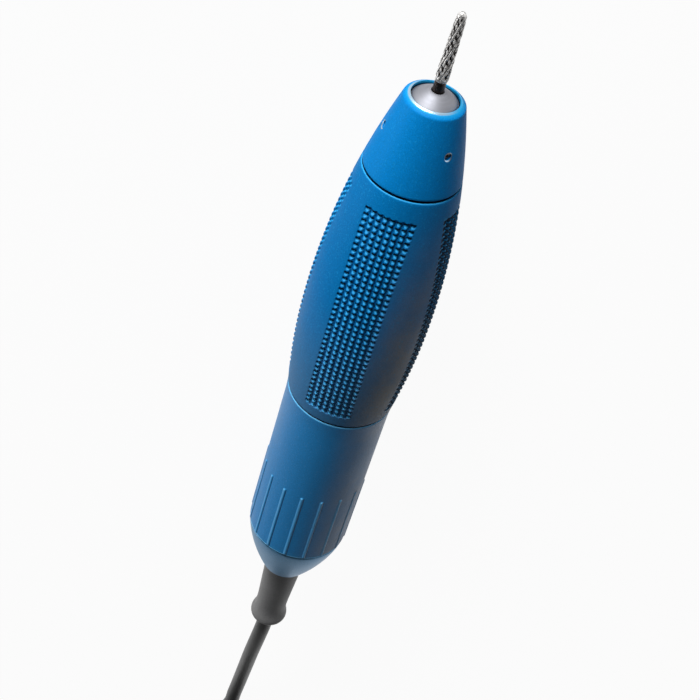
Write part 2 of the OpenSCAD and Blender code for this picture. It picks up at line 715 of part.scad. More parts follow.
module release_ring() {
    color(brass) on_axis() {
        ring(liner_bore - 0.1, housing_r + fit_gap, ring_pin_s - 3, ring_pin_s + 3);
        for (a = [0, 180]) at_angle(a) radial_rod(pin_r, collar_r - 1, liner_r - 0.05, ring_pin_s);
    }
}
module thrust_collar() {
    color(steel) on_axis() difference() {
        ring(collar_r, mid_r + 0.3, ring_pin_s - 1.2, draw_pin_s - draw_pin_r - 0.25);
        for (a = [0, 180]) at_angle(a) radial_rod(pin_r + seat_gap, collar_r - 1, collar_r + 1, ring_pin_s);
    }
}

// ---- Lead: a free stretch, a tied hank of its spare length, and a plug ----
// Free stretch: from the boot's tip down to the surface and along it to the hank
lead_route = [
    [-97.5, 0, 14.2], [-103, 0.15, 14.15], [-109, 0.45, 13.6], [-115, 0.75, 12.6],
    [-122, 1.02, 10.9], [-129, 1.2, 8.9], [-136, 1.38, 6.8], [-143, 1.57, 4.9], [-150, 1.8, 3.4],
    [-156, 2.05, 2.5], [-162, 2.27, 2.1], [-168, 4.05, 2.1], [-174, 7, 2.1], [-180, 10.55, 2.1],
    [-186, 13.99, 2.1], [-192, 16.58, 2.1], [-198, 17.6, 2.1]
];
hank_x = -237;
hank_lift = 1.3;        // the tie under the runs lifts the waist
waist_flat = 14;
layers = 4;
runs = 13;
run_steps = 5;
fold_steps = 7;
hank_sides = 6;
plug_y = -2.4;
plug_z = 24;
plug_x = hank_x - 22;   // where the plug's bend relief starts

function tri(k) = let (m = k % 6) m <= 3 ? m : 6 - m;
function side(k) = k % 2 == 0 ? 1 : -1;
// The hank spirals in and out again at a steady half step a run
function run_y(k) = side(k) * (fold_r + 1.25 * turn_step - tri(k) * turn_step / 2) - turn_step / 4;
function level_at_start(k) = max(0, floor((k - 1) / 3));
function level_at_end(k) = min(layers - 1, floor(k / 3));
function height(level) = lead_r + layer_pitch * level;
function smooth(t) = t * t * (3 - 2 * t);
function waist(x) = let (t = (abs(x) - waist_flat / 2) / (run_len / 2 - waist_flat / 2))
    t <= 0 ? 1 : t >= 1 ? 0 : (1 + cos(180 * t)) / 2;
function run_points(k, steps, part) = [for (j = [0 : steps]) let (
        t = part * j / steps,
        x = side(k) * run_len * (0.5 - t),
        level = level_at_start(k) + (level_at_end(k) - level_at_start(k)) * smooth(t))
    [hank_x + x, run_y(k) - side(k) * waist_draw * waist(x), height(level) + hank_lift * waist(x)]];
function fold_points(k, steps) = let (
        middle = (run_y(k) + run_y(k + 1)) / 2,
        r = abs(run_y(k) - run_y(k + 1)) / 2)
    [for (j = [1 : steps - 1]) let (a = 180 * j / steps)
        [hank_x - side(k) * (run_len / 2 + r * sin(a)), middle + side(k) * r * cos(a),
         height(level_at_end(k))]];
// The tail climbs, turns back over the last fold and runs along the top into the plug
turn_steps = 7;
turn_r = (run_y(runs - 1) - plug_y) / 2;
climb_before = 14;      // length of the climb before the turn starts
function climb(part) = let (t = (climb_before + part * PI * turn_r) / (climb_before + PI * turn_r))
    height(layers - 1) + (plug_z - height(layers - 1)) * smooth(t);
tail_points = concat(
    [for (j = [0 : turn_steps]) let (a = 180 * j / turn_steps)
        [hank_x - run_len / 2 - turn_r * sin(a), plug_y + turn_r + turn_r * cos(a), climb(a / 180)]],
    [[plug_x - 2 * lead_d, plug_y, plug_z], [plug_x, plug_y, plug_z]]);
hank_route = concat(
    [lead_route[len(lead_route) - 1]],
    [for (k = [0 : runs - 2]) each concat(run_points(k, run_steps, 1), fold_points(k, fold_steps))],
    [for (j = [0 : run_steps - 1]) run_points(runs - 1, run_steps, 1)[j]],
    tail_points);

function unit(v) = v / norm(v);
function direction(path, i) = i == 0 ? unit(path[1] - path[0])
    : i == len(path) - 1 ? unit(path[i] - path[i - 1])
    : unit(unit(path[i + 1] - path[i]) + unit(path[i] - path[i - 1]));
// Rings stand square to the path, one corner downwards
function ring_at(path, i, r, sides) = let (
        d = direction(path, i),
        across = unit(cross(d, [0, 0, 1])),
        up = cross(across, d))
    [for (j = [0 : sides - 1]) path[i] + r * (sin(360 * j / sides) * across - cos(360 * j / sides) * up)];
module swept(path, r, sides) {
    n = len(path);
    points = concat([for (i = [0 : n - 1]) each ring_at(path, i, r, sides)], [path[0], path[n - 1]]);
    polyhedron(points, concat(
        [for (i = [0 : n - 2], j = [0 : sides - 1]) let (k = (j + 1) % sides)
            [i * sides + j, i * sides + k, (i + 1) * sides + k]],
        [for (i = [0 : n - 2], j = [0 : sides - 1]) let (k = (j + 1) % sides)
            [i * sides + j, (i + 1) * sides + k, (i + 1) * sides + j]],
        [for (j = [0 : sides - 1]) [n * sides, (j + 1) % sides, j]],
        [for (j = [0 : sides - 1]) let (k = (j + 1) % sides)
            [n * sides + 1, (n - 1) * sides + j, (n - 1) * sides + k]]));
}
function path_length(path) = let (pieces = [for (i = [0 : len(path) - 2]) norm(path[i + 1] - path[i])])
    pieces * [for (piece = pieces) 1];
// Distance from a point to a segment, for the least gap between turns
function to_segment(p, a, b) = let (d = b - a, t = max(0, min(1, (p - a) * d / (d * d))))
    norm(p - a - t * d);
function least_gap(path, apart) = min([for (i = [0 : len(path) - 1], j = [0 : len(path) - 2])
    if (abs(i - j) > apart && abs(i - j - 1) > apart) to_segment(path[i], path[j], path[j + 1])]);
module cord() {
    color(rubber) swept(lead_route, lead_r, 8);
}
module cord_hank() {
    echo(free_length = path_length(lead_route), hank_length = path_length(hank_route),
        hank_loops = (runs - 1) / 2, least_gap = least_gap(hank_route, 3) - lead_d);
    color(rubber) swept(hank_route, lead_r, hank_sides);
}
tie_w = 12;
tie_t = 1.25;
tie_gap = 0.05;
module tie_outline(grow) {
    y = abs(run_y(0)) - waist_draw;
    hull() {
        for (side_y = [-y, y], z = [height(0), height(layers - 1)])
            translate([side_y, z + hank_lift]) circle(r = lead_r + tie_gap + grow, $fn = 24);
        translate([plug_y, plug_z]) circle(r = plug_body_r + tie_gap + grow, $fn = 32);
    }
}
module hank_tie() {
    color([0.08, 0.08, 0.09]) translate([hank_x - tie_w / 2, 0, 0]) rotate([90, 0, 90])
        linear_extrude(tie_w) difference() {
            tie_outline(tie_t);
            tie_outline(0);
        }
}

// ---- Plug: stations are measured from the start of its bend relief ----
plug_body_r = 5.5;
body_from = 14;
body_to = 29.6;
plug_ring_r = 6.5;
ring_from = 30;
ring_to = 38;
shell_r = 5;
shell_seat_r = 4.5;     // the shell is slimmer inside the body and the ring
module on_plug() {
    translate([plug_x, plug_y, plug_z]) rotate([0, 90, 0]) children();
}
module plug_boot() {
    color(rubber) on_plug() spun([[0, 0], [2.9, 0], [3.1, 0.4], [3.1, 2], [2.8, 2.4], [3.2, 2.8],
        [3.3, 4.4], [3, 4.8], [3.5, 5.2], [3.6, 7], [3.3, 7.4], [3.8, 7.8], [4, 10], [4.6, 12.4],
        [4.6, body_from], [0, body_from]]);
}
module plug_body() {
    color(dark_steel) on_plug() difference() {
        spun([[0, body_from], [plug_body_r - 0.6, body_from], [plug_body_r, body_from + 0.6],
              [plug_body_r, body_to - 0.4], [plug_body_r - 0.4, body_to], [0, body_to]]);
        for (p = [17, 19, 21]) translate([0, 0, p]) rotate_extrude()
            translate([plug_body_r + 0.2, 0]) circle(r = 0.5, $fn = 24);
        rod(shell_seat_r + seat_gap, shell_from, body_to + eps);
    }
}
module plug_ring() {
    knurls = 24;
    color(steel) on_plug() difference() {
        spun([[shell_seat_r + fit_gap, ring_from], [plug_ring_r - 0.4, ring_from],
              [plug_ring_r, ring_from + 0.4], [plug_ring_r, ring_to - 0.6],
              [plug_ring_r - 0.5, ring_to], [shell_seat_r + fit_gap, ring_to]]);
        for (i = [0 : knurls - 1]) rotate([0, 0, 360 * i / knurls])
            translate([plug_ring_r + 0.3, 0, ring_from + 1.4]) cylinder(h = 5, r = 0.6, $fn = 16);
    }
}
shell_wall = 0.6;
shell_from = 26;
shell_step = ring_to + 0.5;
shell_to = 48;
insert_from = shell_from + 2;
insert_to = 39;
insert_r = shell_seat_r - shell_wall - seat_gap;
module plug_shell() {
    color(steel) on_plug() difference() {
        union() {
            rod(shell_seat_r, shell_from, shell_step + eps);
            rod(shell_r, shell_step, shell_to);
        }
        rod(insert_r + seat_gap, insert_from, insert_to + 0.1);
        rod(shell_r - shell_wall, insert_to + 0.1 - eps, shell_to + eps);
        translate([shell_r - 1.2, -0.7, shell_to - 5]) cube([2, 1.4, 6]);
    }
}
module plug_insert() {
    color(plastic) on_plug() rod(insert_r, insert_from, insert_to);
}
module plug_pins() {
    pins = 4;
    pin_circle_r = 2.4;
    pin_len = 6;
    contact_r = 0.5;
    color(brass) on_plug() for (i = [0 : pins - 1]) rotate([0, 0, 45 + i * 360 / pins])
        translate([pin_circle_r, 0, insert_to]) {
            cylinder(h = pin_len, r = contact_r, $fn = 24);
            translate([0, 0, pin_len]) sphere(r = contact_r, $fn = 24);
        }
}

rear_barrel();
end_cap();
cord_boot();
lead_inlet();
lead_ferrule();
terminal_board();
motor_leads();
motor_can();
motor_magnets();
brush_plate();
brushes();
brush_springs();
motor_bushes();
motor_shaft();
armature_core();
armature_windings();
commutator();
motor_coupling();
spindle_coupling();
coupling_spider();
spindle();
spring_stop();
draw_spring();
spindle_housing();
bearing_nut();
front_bearing_outers();
front_bearing_inners();
front_ball_cages();
rear_bearing_outer();
rear_bearing_inner();
rear_ball_cage();
bearing_spacers();
preload_washer();
bearing_circlip();
draw_bar();
draw_pin();
collet();
burr_shank();
burr_head();
dust_disc();
nose_cone();
nose_screws();
grip_sleeve();
cam_liner();
sleeve_bushes();
sleeve_seals();
detent_ball();
detent_spring();
release_ring();
thrust_collar();
cord();
cord_hank();
hank_tie();
plug_boot();
plug_body();
plug_ring();
plug_shell();
plug_insert();
plug_pins();
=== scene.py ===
"""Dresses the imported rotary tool: camera, lead, housing shells, burr, plug and their materials."""

import json
import math

import bmesh
import bpy
import numpy as np
from mathutils import Matrix, Vector


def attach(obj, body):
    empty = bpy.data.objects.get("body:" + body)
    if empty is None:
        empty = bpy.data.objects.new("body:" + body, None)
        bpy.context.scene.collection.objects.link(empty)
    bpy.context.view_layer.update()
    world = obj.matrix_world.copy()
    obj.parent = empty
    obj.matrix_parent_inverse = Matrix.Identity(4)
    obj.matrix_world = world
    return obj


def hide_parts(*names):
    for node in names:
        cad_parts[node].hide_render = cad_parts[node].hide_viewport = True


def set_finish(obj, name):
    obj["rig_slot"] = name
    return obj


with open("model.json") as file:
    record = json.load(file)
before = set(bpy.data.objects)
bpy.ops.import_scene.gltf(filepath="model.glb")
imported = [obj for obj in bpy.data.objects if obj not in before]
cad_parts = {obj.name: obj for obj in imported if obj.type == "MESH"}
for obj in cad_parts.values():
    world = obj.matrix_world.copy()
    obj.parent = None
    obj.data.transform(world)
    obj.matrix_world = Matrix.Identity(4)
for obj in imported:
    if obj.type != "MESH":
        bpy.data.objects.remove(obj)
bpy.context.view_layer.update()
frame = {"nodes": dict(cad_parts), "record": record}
scene = bpy.context.scene
NODES = frame["nodes"]

# ---------------------------------------------------------------- the part's own sizes, in millimetres
MM = 0.001
AXIS_Z = 14.2
MID_S = 72.5
BARREL_R = 12.2
DOME_S = 16.8
REAR_SEAM = 66.7
FRONT_SEAM = 132.3
BULGE_S = 92.0
BURR_TIP_S = 170.0
HEAD_LEN = 15.6
LEAD_R = 2.1
PLUG_X, PLUG_Y, PLUG_Z = -259.0, -2.4, 24.0


def grip_r(s):
    """Outer radius of grip and nose cone at station s."""
    s = np.asarray(s, float)
    return np.where(
        s < BULGE_S,
        AXIS_Z - 0.00284 * (BULGE_S - s) ** 2,
        AXIS_Z - 0.00157 * np.abs(s - BULGE_S) ** 2.1,
    )


def dome_r(s):
    """Outer radius of the end cap at station s."""
    return BARREL_R - 0.0855 * (DOME_S + 1 - np.asarray(s, float)) ** 1.5


def on_tool(s, r, phi):
    """Row-frame points in metres for stations, radii and angles; angle 0 is up, positive towards -Y."""
    s, r, phi = np.broadcast_arrays(np.asarray(s, float), np.asarray(r, float), np.asarray(phi, float))
    return np.stack([s - MID_S, -r * np.sin(phi), AXIS_Z + r * np.cos(phi)], -1) * MM


def on_plug(p, r, phi):
    """The same about the plug's axis, with p measured from the start of its bend relief."""
    p, r, phi = np.broadcast_arrays(np.asarray(p, float), np.asarray(r, float), np.asarray(phi, float))
    return np.stack([PLUG_X + p, PLUG_Y - r * np.sin(phi), PLUG_Z + r * np.cos(phi)], -1) * MM


# ---------------------------------------------------------------- camera
THETA = math.radians(44.0)  # between the view and straight down
ROLL = math.radians(17.957)
FOCAL_PX = 1579.0
PHOTO_PX = 700
forward = Vector((-math.sin(THETA), 0, -math.cos(THETA)))
tilt_up = Vector((math.cos(THETA), 0, -math.sin(THETA)))
tilt_right = Vector((0, -1, 0))
picture_up = math.cos(ROLL) * tilt_up - math.sin(ROLL) * tilt_right
picture_right = math.sin(ROLL) * tilt_up + math.cos(ROLL) * tilt_right
camera_data = bpy.data.cameras.new("camera")
camera_data.sensor_width = 36
camera_data.lens = 36 * FOCAL_PX / PHOTO_PX
camera_data.clip_start = 0.01
camera = bpy.data.objects.new("camera", camera_data)
scene.collection.objects.link(camera)
turn = Matrix((picture_right, picture_up, -forward)).transposed().to_4x4()
camera.matrix_world = Matrix.Translation(Vector((252.05, 0.68, 268.66)) * MM) @ turn
scene.camera = camera
scene.view_settings.view_transform = "Standard"


# ---------------------------------------------------------------- meshes
def add_object(name, data, body, slot, replaces=()):
    """A piece that rides on a body, in a material slot, in place of the CAD nodes it replaces."""
    piece = bpy.data.objects.new(name, data)
    scene.collection.objects.link(piece)
    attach(piece, body)
    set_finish(piece, slot)
    if replaces:
        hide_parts(*replaces)
    return piece


def soften(mesh, sharp_deg=40):
    """Smooth shading, with edges sharper than sharp_deg kept crisp."""
    bm = bmesh.new()
    bm.from_mesh(mesh)
    bmesh.ops.recalc_face_normals(bm, faces=bm.faces)
    limit = math.radians(sharp_deg)
    for face in bm.faces:
        face.smooth = True
    for edge in bm.edges:
        if len(edge.link_faces) == 2 and edge.calc_face_angle() > limit:
            edge.smooth = False
    bm.to_mesh(mesh)
    bm.free()
    return mesh


def capped(mesh):
    """The mesh with its open ends filled and its faces turned outwards."""
    bm = bmesh.new()
    bm.from_mesh(mesh)
    bmesh.ops.holes_fill(bm, edges=[e for e in bm.edges if e.is_boundary], sides=0)
    bmesh.ops.recalc_face_normals(bm, faces=bm.faces)
    bm.to_mesh(mesh)
    bm.free()
    return mesh


def grid_mesh(name, points, close_rows=False, diagonals=None):
    """A mesh from rows of points; each row closes on itself.

    diagonals picks how each cell is split into two triangles.
    """
    rows, cols = points.shape[:2]
    i = np.arange(rows if close_rows else rows - 1)[:, None]
    j = np.arange(cols)[None, :]
    down, right = (i + 1) % rows, (j + 1) % cols
    a, b = i * cols + j, i * cols + right
    c, d = down * cols + right, down * cols + j
    mesh = bpy.data.meshes.new(name)
    if diagonals is None:
        faces = np.stack(np.broadcast_arrays(a, b, c, d), -1).reshape(-1, 4)
    else:
        a, b, c, d, way = np.broadcast_arrays(a, b, c, d, diagonals)
        first = np.where(way[..., None], np.stack([a, b, c], -1), np.stack([a, b, d], -1))
        second = np.where(way[..., None], np.stack([a, c, d], -1), np.stack([b, c, d], -1))
        faces = np.concatenate([first.reshape(-1, 3), second.reshape(-1, 3)])
    mesh.from_pydata(points.reshape(-1, 3).tolist(), [], faces.tolist())
    return mesh


def mark(mesh, name, values, domain="POINT"):
    """A number for every vertex, or for every face, that materials can read."""
    layer = mesh.attributes.new(name, "FLOAT", domain)
    layer.data.foreach_set("value", np.asarray(values, float).ravel())


def lathe_points(profile, place, sides):
    """Rows of points for a closed profile of (station, radius) pairs."""
    profile = np.asarray(profile, float)
    phi = np.linspace(0, 2 * math.pi, sides, endpoint=False)
    return place(profile[:, 0:1], profile[:, 1:2], phi[None, :])


def lathe(name, profile, body, slot, replaces=(), place=on_tool, sides=128, sharp=40):
    """A ring turned from a closed profile."""
    mesh = grid_mesh(name, lathe_points(profile, place, sides), close_rows=True)
    return add_object(name, soften(mesh, sharp), body, slot, replaces)


def rounded(profile, radius, steps=3):
    """The profile with its corners rounded; radius may be one number or one for each corner."""
    profile = [np.asarray(p, float) for p in profile]
    radii = [radius] * len(profile) if np.isscalar(radius) else list(radius)
    out = []
    for k, corner in enumerate(profile):
        before, after = profile[k - 1], profile[(k + 1) % len(profile)]
        u, v = before - corner, after - corner
        lu, lv = np.linalg.norm(u), np.linalg.norm(v)
        reach = min(radii[k], 0.45 * lu, 0.45 * lv)
        if reach < 1e-4 or np.dot(u, v) / (lu * lv) < -0.995:
            out.append(corner)
            continue
        start, end = corner + u / lu * reach, corner + v / lv * reach
        for t in np.linspace(0, 1, steps + 1):
            out.append((1 - t) ** 2 * start + 2 * t * (1 - t) * corner + t ** 2 * end)
    return out


# ---------------------------------------------------------------- lead
FREE = [
    (-97.5, 0, 14.2), (-103, 0.15, 14.15), (-109, 0.45, 13.6), (-115, 0.75, 12.6), (-122, 1.02, 10.9),
    (-129, 1.2, 8.9), (-136, 1.38, 6.8), (-143, 1.57, 4.9), (-150, 1.8, 3.4), (-156, 2.05, 2.5),
    (-162, 2.27, 2.1), (-168, 4.05, 2.1), (-174, 7, 2.1), (-180, 10.55, 2.1), (-186, 13.99, 2.1),
    (-192, 16.58, 2.1), (-198, 17.6, 2.1),
]
HANK_X, RUN_LEN, FOLD_R, TURN_STEP = -237.0, 70.0, 12.6, 5.0
LAYER_PITCH, WAIST_DRAW, WAIST_FLAT, HANK_LIFT = 4.65, 7.0, 14.0, 1.3
LAYERS, RUNS, RUN_STEPS, FOLD_STEPS, TURN_STEPS = 4, 13, 5, 7, 7
CLIMB_BEFORE = 14.0


def smooth(t):
    return t * t * (3 - 2 * t)


def run_side(k):
    return 1 if k % 2 == 0 else -1


def run_y(k):
    m = k % 6
    return run_side(k) * (FOLD_R + 1.25 * TURN_STEP - min(m, 6 - m) * TURN_STEP / 2) - TURN_STEP / 4


def level_at_start(k):
    return max(0, (k - 1) // 3)


def level_at_end(k):
    return min(LAYERS - 1, k // 3)


def height(level):
    return LEAD_R + LAYER_PITCH * level


def waist(x):
    t = (abs(x) - WAIST_FLAT / 2) / (RUN_LEN / 2 - WAIST_FLAT / 2)
    return 1 if t <= 0 else 0 if t >= 1 else (1 + math.cos(math.pi * t)) / 2


def run_points(k):
    out = []
    for j in range(RUN_STEPS + 1):
        t = j / RUN_STEPS
        x = run_side(k) * RUN_LEN * (0.5 - t)
        level = level_at_start(k) + (level_at_end(k) - level_at_start(k)) * smooth(t)
        y = run_y(k) - run_side(k) * WAIST_DRAW * waist(x)
        out.append((HANK_X + x, y, height(level) + HANK_LIFT * waist(x)))
    return out


def fold_points(k):
    middle, r = (run_y(k) + run_y(k + 1)) / 2, abs(run_y(k) - run_y(k + 1)) / 2
    out = []
    for j in range(1, FOLD_STEPS):
        a = math.pi * j / FOLD_STEPS
        x = HANK_X - run_side(k) * (RUN_LEN / 2 + r * math.sin(a))
        out.append((x, middle + run_side(k) * r * math.cos(a), height(level_at_end(k))))
    return out


def tail_points():
    r = (run_y(RUNS - 1) - PLUG_Y) / 2
    top = height(LAYERS - 1)
    out = []
    for j in range(TURN_STEPS + 1):
        a = math.pi * j / TURN_STEPS
        t = (CLIMB_BEFORE + a * r) / (CLIMB_BEFORE + math.pi * r)
        z = top + (PLUG_Z - top) * smooth(t)
        out.append((HANK_X - RUN_LEN / 2 - r * math.sin(a), PLUG_Y + r + r * math.cos(a), z))
    return out + [(PLUG_X - 4 * LEAD_R, PLUG_Y, PLUG_Z), (PLUG_X, PLUG_Y, PLUG_Z)]


def hank_route():
    out = []
    for k in range(RUNS - 1):
        out += run_points(k) + fold_points(k)
    return out + run_points(RUNS - 1)[:RUN_STEPS] + tail_points()


lead_route = FREE + hank_route()


def smooth_path(points, step):
    """Points about step apart on a smooth curve through the given ones, and its heading at each."""
    points = np.asarray(points, float)
    gaps = np.linalg.norm(np.diff(points, axis=0), axis=1)
    at = np.concatenate([[0], np.cumsum(gaps)])
    heading = np.empty_like(points)
    for i in range(len(points)):
        if 0 < i < len(points) - 1:
            # The tangent of the circle through this point and its two neighbours
            u, v = (points[i] - points[i - 1]) / gaps[i - 1], (points[i + 1] - points[i]) / gaps[i]
            heading[i] = u * gaps[i] + v * gaps[i - 1]
        else:
            heading[i] = points[1] - points[0] if i == 0 else points[-1] - points[-2]
        heading[i] /= np.linalg.norm(heading[i])
    out = []
    for i, gap in enumerate(gaps):
        t = np.linspace(0, 1, max(2, round(gap / step)) + 1)[:-1, None]
        a, b = points[i], points[i + 1]
        da, db = heading[i] * gap, heading[i + 1] * gap
        bend = math.acos(max(-1.0, min(1.0, float(heading[i] @ heading[i + 1]))))
        swell = 1 / math.cos(bend / 4) ** 2
        out.append(
            a * (2 * t ** 3 - 3 * t ** 2 + 1) + swell * da * (t ** 3 - 2 * t ** 2 + t)
            + b * (3 * t ** 2 - 2 * t ** 3) + swell * db * (t ** 3 - t ** 2))
    out = np.concatenate(out + [points[-1:]])
    along = np.gradient(out, axis=0)
    return out, along / np.linalg.norm(along, axis=1)[:, None]


def tube_mesh(name, path, heading, radius, sides):
    """A capped tube round a path, with its rings carried along without twist."""
    normal = np.cross(heading[0], [0, 1, 0])
    rings = []
    angle = np.linspace(0, 2 * math.pi, sides, endpoint=False)[:, None]
    for p, d in zip(path, heading):
        normal = normal - d * (normal @ d)
        normal /= np.linalg.norm(normal)
        rings.append(p + radius * (np.cos(angle) * normal + np.sin(angle) * np.cross(d, normal)))
    return soften(capped(grid_mesh(name, np.stack(rings) * MM)), 50)


lead_path, lead_heading = smooth_path(lead_route, 1.2)
lead_data = tube_mesh("lead", lead_path, lead_heading, LEAD_R, 20)
lead = add_object("lead", lead_data, "housing", "lead_sheath", ["cord", "cord_hank"])


# ---------------------------------------------------------------- materials
def new_material(name, color, roughness, metallic=0.0, **sockets):
    """A Principled material; sockets are further inputs of its shader, with _ for a space."""
    material = bpy.data.materials.new(name)
    material.use_nodes = True
    tree = material.node_tree
    shader = tree.nodes["Principled BSDF"]
    shader.inputs["Base Color"].default_value = (*color, 1)
    shader.inputs["Roughness"].default_value = roughness
    shader.inputs["Metallic"].default_value = metallic
    for key, value in sockets.items():
        shader.inputs[key.replace("_", " ")].default_value = value
    material.diffuse_color = (*color, 1)
    return material


def tree_node(material, kind, **settings):
    node = material.node_tree.nodes.new(kind)
    for key, value in settings.items():
        if key in node.inputs:
            node.inputs[key].default_value = value
        else:
            setattr(node, key, value)
    return node


def link(material, out, into):
    material.node_tree.links.new(out, into)


def object_coordinates(material, scale=(1, 1, 1)):
    """Metres of the row frame, stretched by scale."""
    place = tree_node(material, "ShaderNodeTexCoord")
    mapping = tree_node(material, "ShaderNodeMapping")
    mapping.inputs["Scale"].default_value = scale
    link(material, place.outputs["Object"], mapping.inputs["Vector"])
    return mapping.outputs["Vector"]


def noise(material, vector, per_metre, detail=2.0, rough=0.5):
    node = tree_node(material, "ShaderNodeTexNoise")
    node.inputs["Scale"].default_value = per_metre
    node.inputs["Detail"].default_value = detail
    node.inputs["Roughness"].default_value = rough
    link(material, vector, node.inputs["Vector"])
    return node.outputs["Fac"]


def ramp(material, fac, stops):
    """A colour ramp; stops are (position, colour or grey)."""
    node = tree_node(material, "ShaderNodeValToRGB")
    elements = node.color_ramp.elements
    while len(elements) < len(stops):
        elements.new(0.5)
    for element, (position, value) in zip(elements, stops):
        element.position = position
        element.color = (*value, 1) if hasattr(value, "__len__") else (value, value, value, 1)
    link(material, fac, node.inputs["Fac"])
    return node.outputs["Color"]


def maths(material, operation, a, b):
    node = tree_node(material, "ShaderNodeMath", operation=operation)
    for value, socket in ((a, node.inputs[0]), (b, node.inputs[1])):
        if isinstance(value, (int, float)):
            socket.default_value = value
        else:
            link(material, value, socket)
    return node.outputs[0]


def mix_color(material, fac, a, b, blend="MIX"):
    node = tree_node(material, "ShaderNodeMix", data_type="RGBA", blend_type=blend)
    for value, socket in ((fac, node.inputs[0]), (a, node.inputs[6]), (b, node.inputs[7])):
        if isinstance(value, (int, float)):
            socket.default_value = value
        elif hasattr(value, "__len__"):
            socket.default_value = (*value, 1)
        else:
            link(material, value, socket)
    return node.outputs[2]


def mix_value(material, fac, a, b):
    node = tree_node(material, "ShaderNodeMix", data_type="FLOAT")
    for value, socket in ((fac, node.inputs[0]), (a, node.inputs[2]), (b, node.inputs[3])):
        if isinstance(value, (int, float)):
            socket.default_value = value
        else:
            link(material, value, socket)
    return node.outputs[0]


def bump(material, heights, distance, strength=1.0):
    """Bump from a socket of heights, with its depth in metres."""
    node = tree_node(material, "ShaderNodeBump")
    node.inputs["Strength"].default_value = strength
    node.inputs["Distance"].default_value = distance
    link(material, heights, node.inputs["Height"])
    link(material, node.outputs["Normal"], shader_of(material).inputs["Normal"])


def shader_of(material):
    return material.node_tree.nodes["Principled BSDF"]


def set_color(material, socket):
    link(material, socket, shader_of(material).inputs["Base Color"])


def set_roughness(material, fac, low, high):
    node = tree_node(material, "ShaderNodeMapRange")
    node.inputs["To Min"].default_value = low
    node.inputs["To Max"].default_value = high
    link(material, fac, node.inputs["Value"])
    link(material, node.outputs["Result"], shader_of(material).inputs["Roughness"])


def span(material, value, low, high, to_low=0.0, to_high=1.0):
    """The value mapped from low..high to to_low..to_high, with soft ends."""
    node = tree_node(material, "ShaderNodeMapRange", interpolation_type="SMOOTHSTEP")
    for key, number in (("From Min", low), ("From Max", high), ("To Min", to_low), ("To Max", to_high)):
        node.inputs[key].default_value = number
    link(material, value, node.inputs["Value"])
    return node.outputs["Result"]


def marked(material, name):
    return tree_node(material, "ShaderNodeAttribute", attribute_name=name).outputs["Fac"]


# Painted sheen: a grey painted on the tool's -Y side stands for a soft reflection there
SHEEN_GREY = (0.34, 0.32, 0.29)
SHEEN_ACROSS = (-0.001, -0.011)  # the painted sheen, a grey standing for a soft reflection, sets in over this much of the tool's -Y side, in metres
SHEEN_ALONG = (0.065, 0.005)  # and towards the rear over this stretch
REAR_SHEEN_ALONG = (0.032, 0.0)  # the grip's greyer rear, painted sheen, sets in over this stretch
BLUE = (0.001, 0.225, 0.62)
BLUE_PALE = (0.02, 0.40, 0.78)
LIP_BARE = (0.42, 0.58, 0.70)
LIP_FROM, LIP_TO = 0.07764, 0.07786
LIP_HIGHLIGHT_FROM = 0.07718
LIP_WORN_HIGHLIT_Y, LIP_WORN_HIGHLIT_Z = 0.6, 0.8  # the side of the lip where the anodising has worn through, which also stands as a painted highlight
LIP_WORN_HIGHLIT_SPAN = (0.0095, 0.0145)
# Painted highlight: the colours that the marked edges and flanks of grip and barrel turn to
GRIP_HIGHLIGHT = (0.06, 0.52, 0.95)
BARREL_HIGHLIGHT = (0.16, 0.60, 1.0)
GRIP_BLUE = (0.001, 0.19, 0.52)
# Painted sheen: the greyer colour painted over the rear of the grip
GRIP_SHEEN_GREY = (0.05, 0.21, 0.45)
BARREL_BLUE = (0.016, 0.23, 0.56)
BARREL_PALE = (0.20, 0.45, 0.74)
CAP_BLUE = (0.10, 0.27, 0.46)
CAP_PALE = (0.40, 0.55, 0.68)


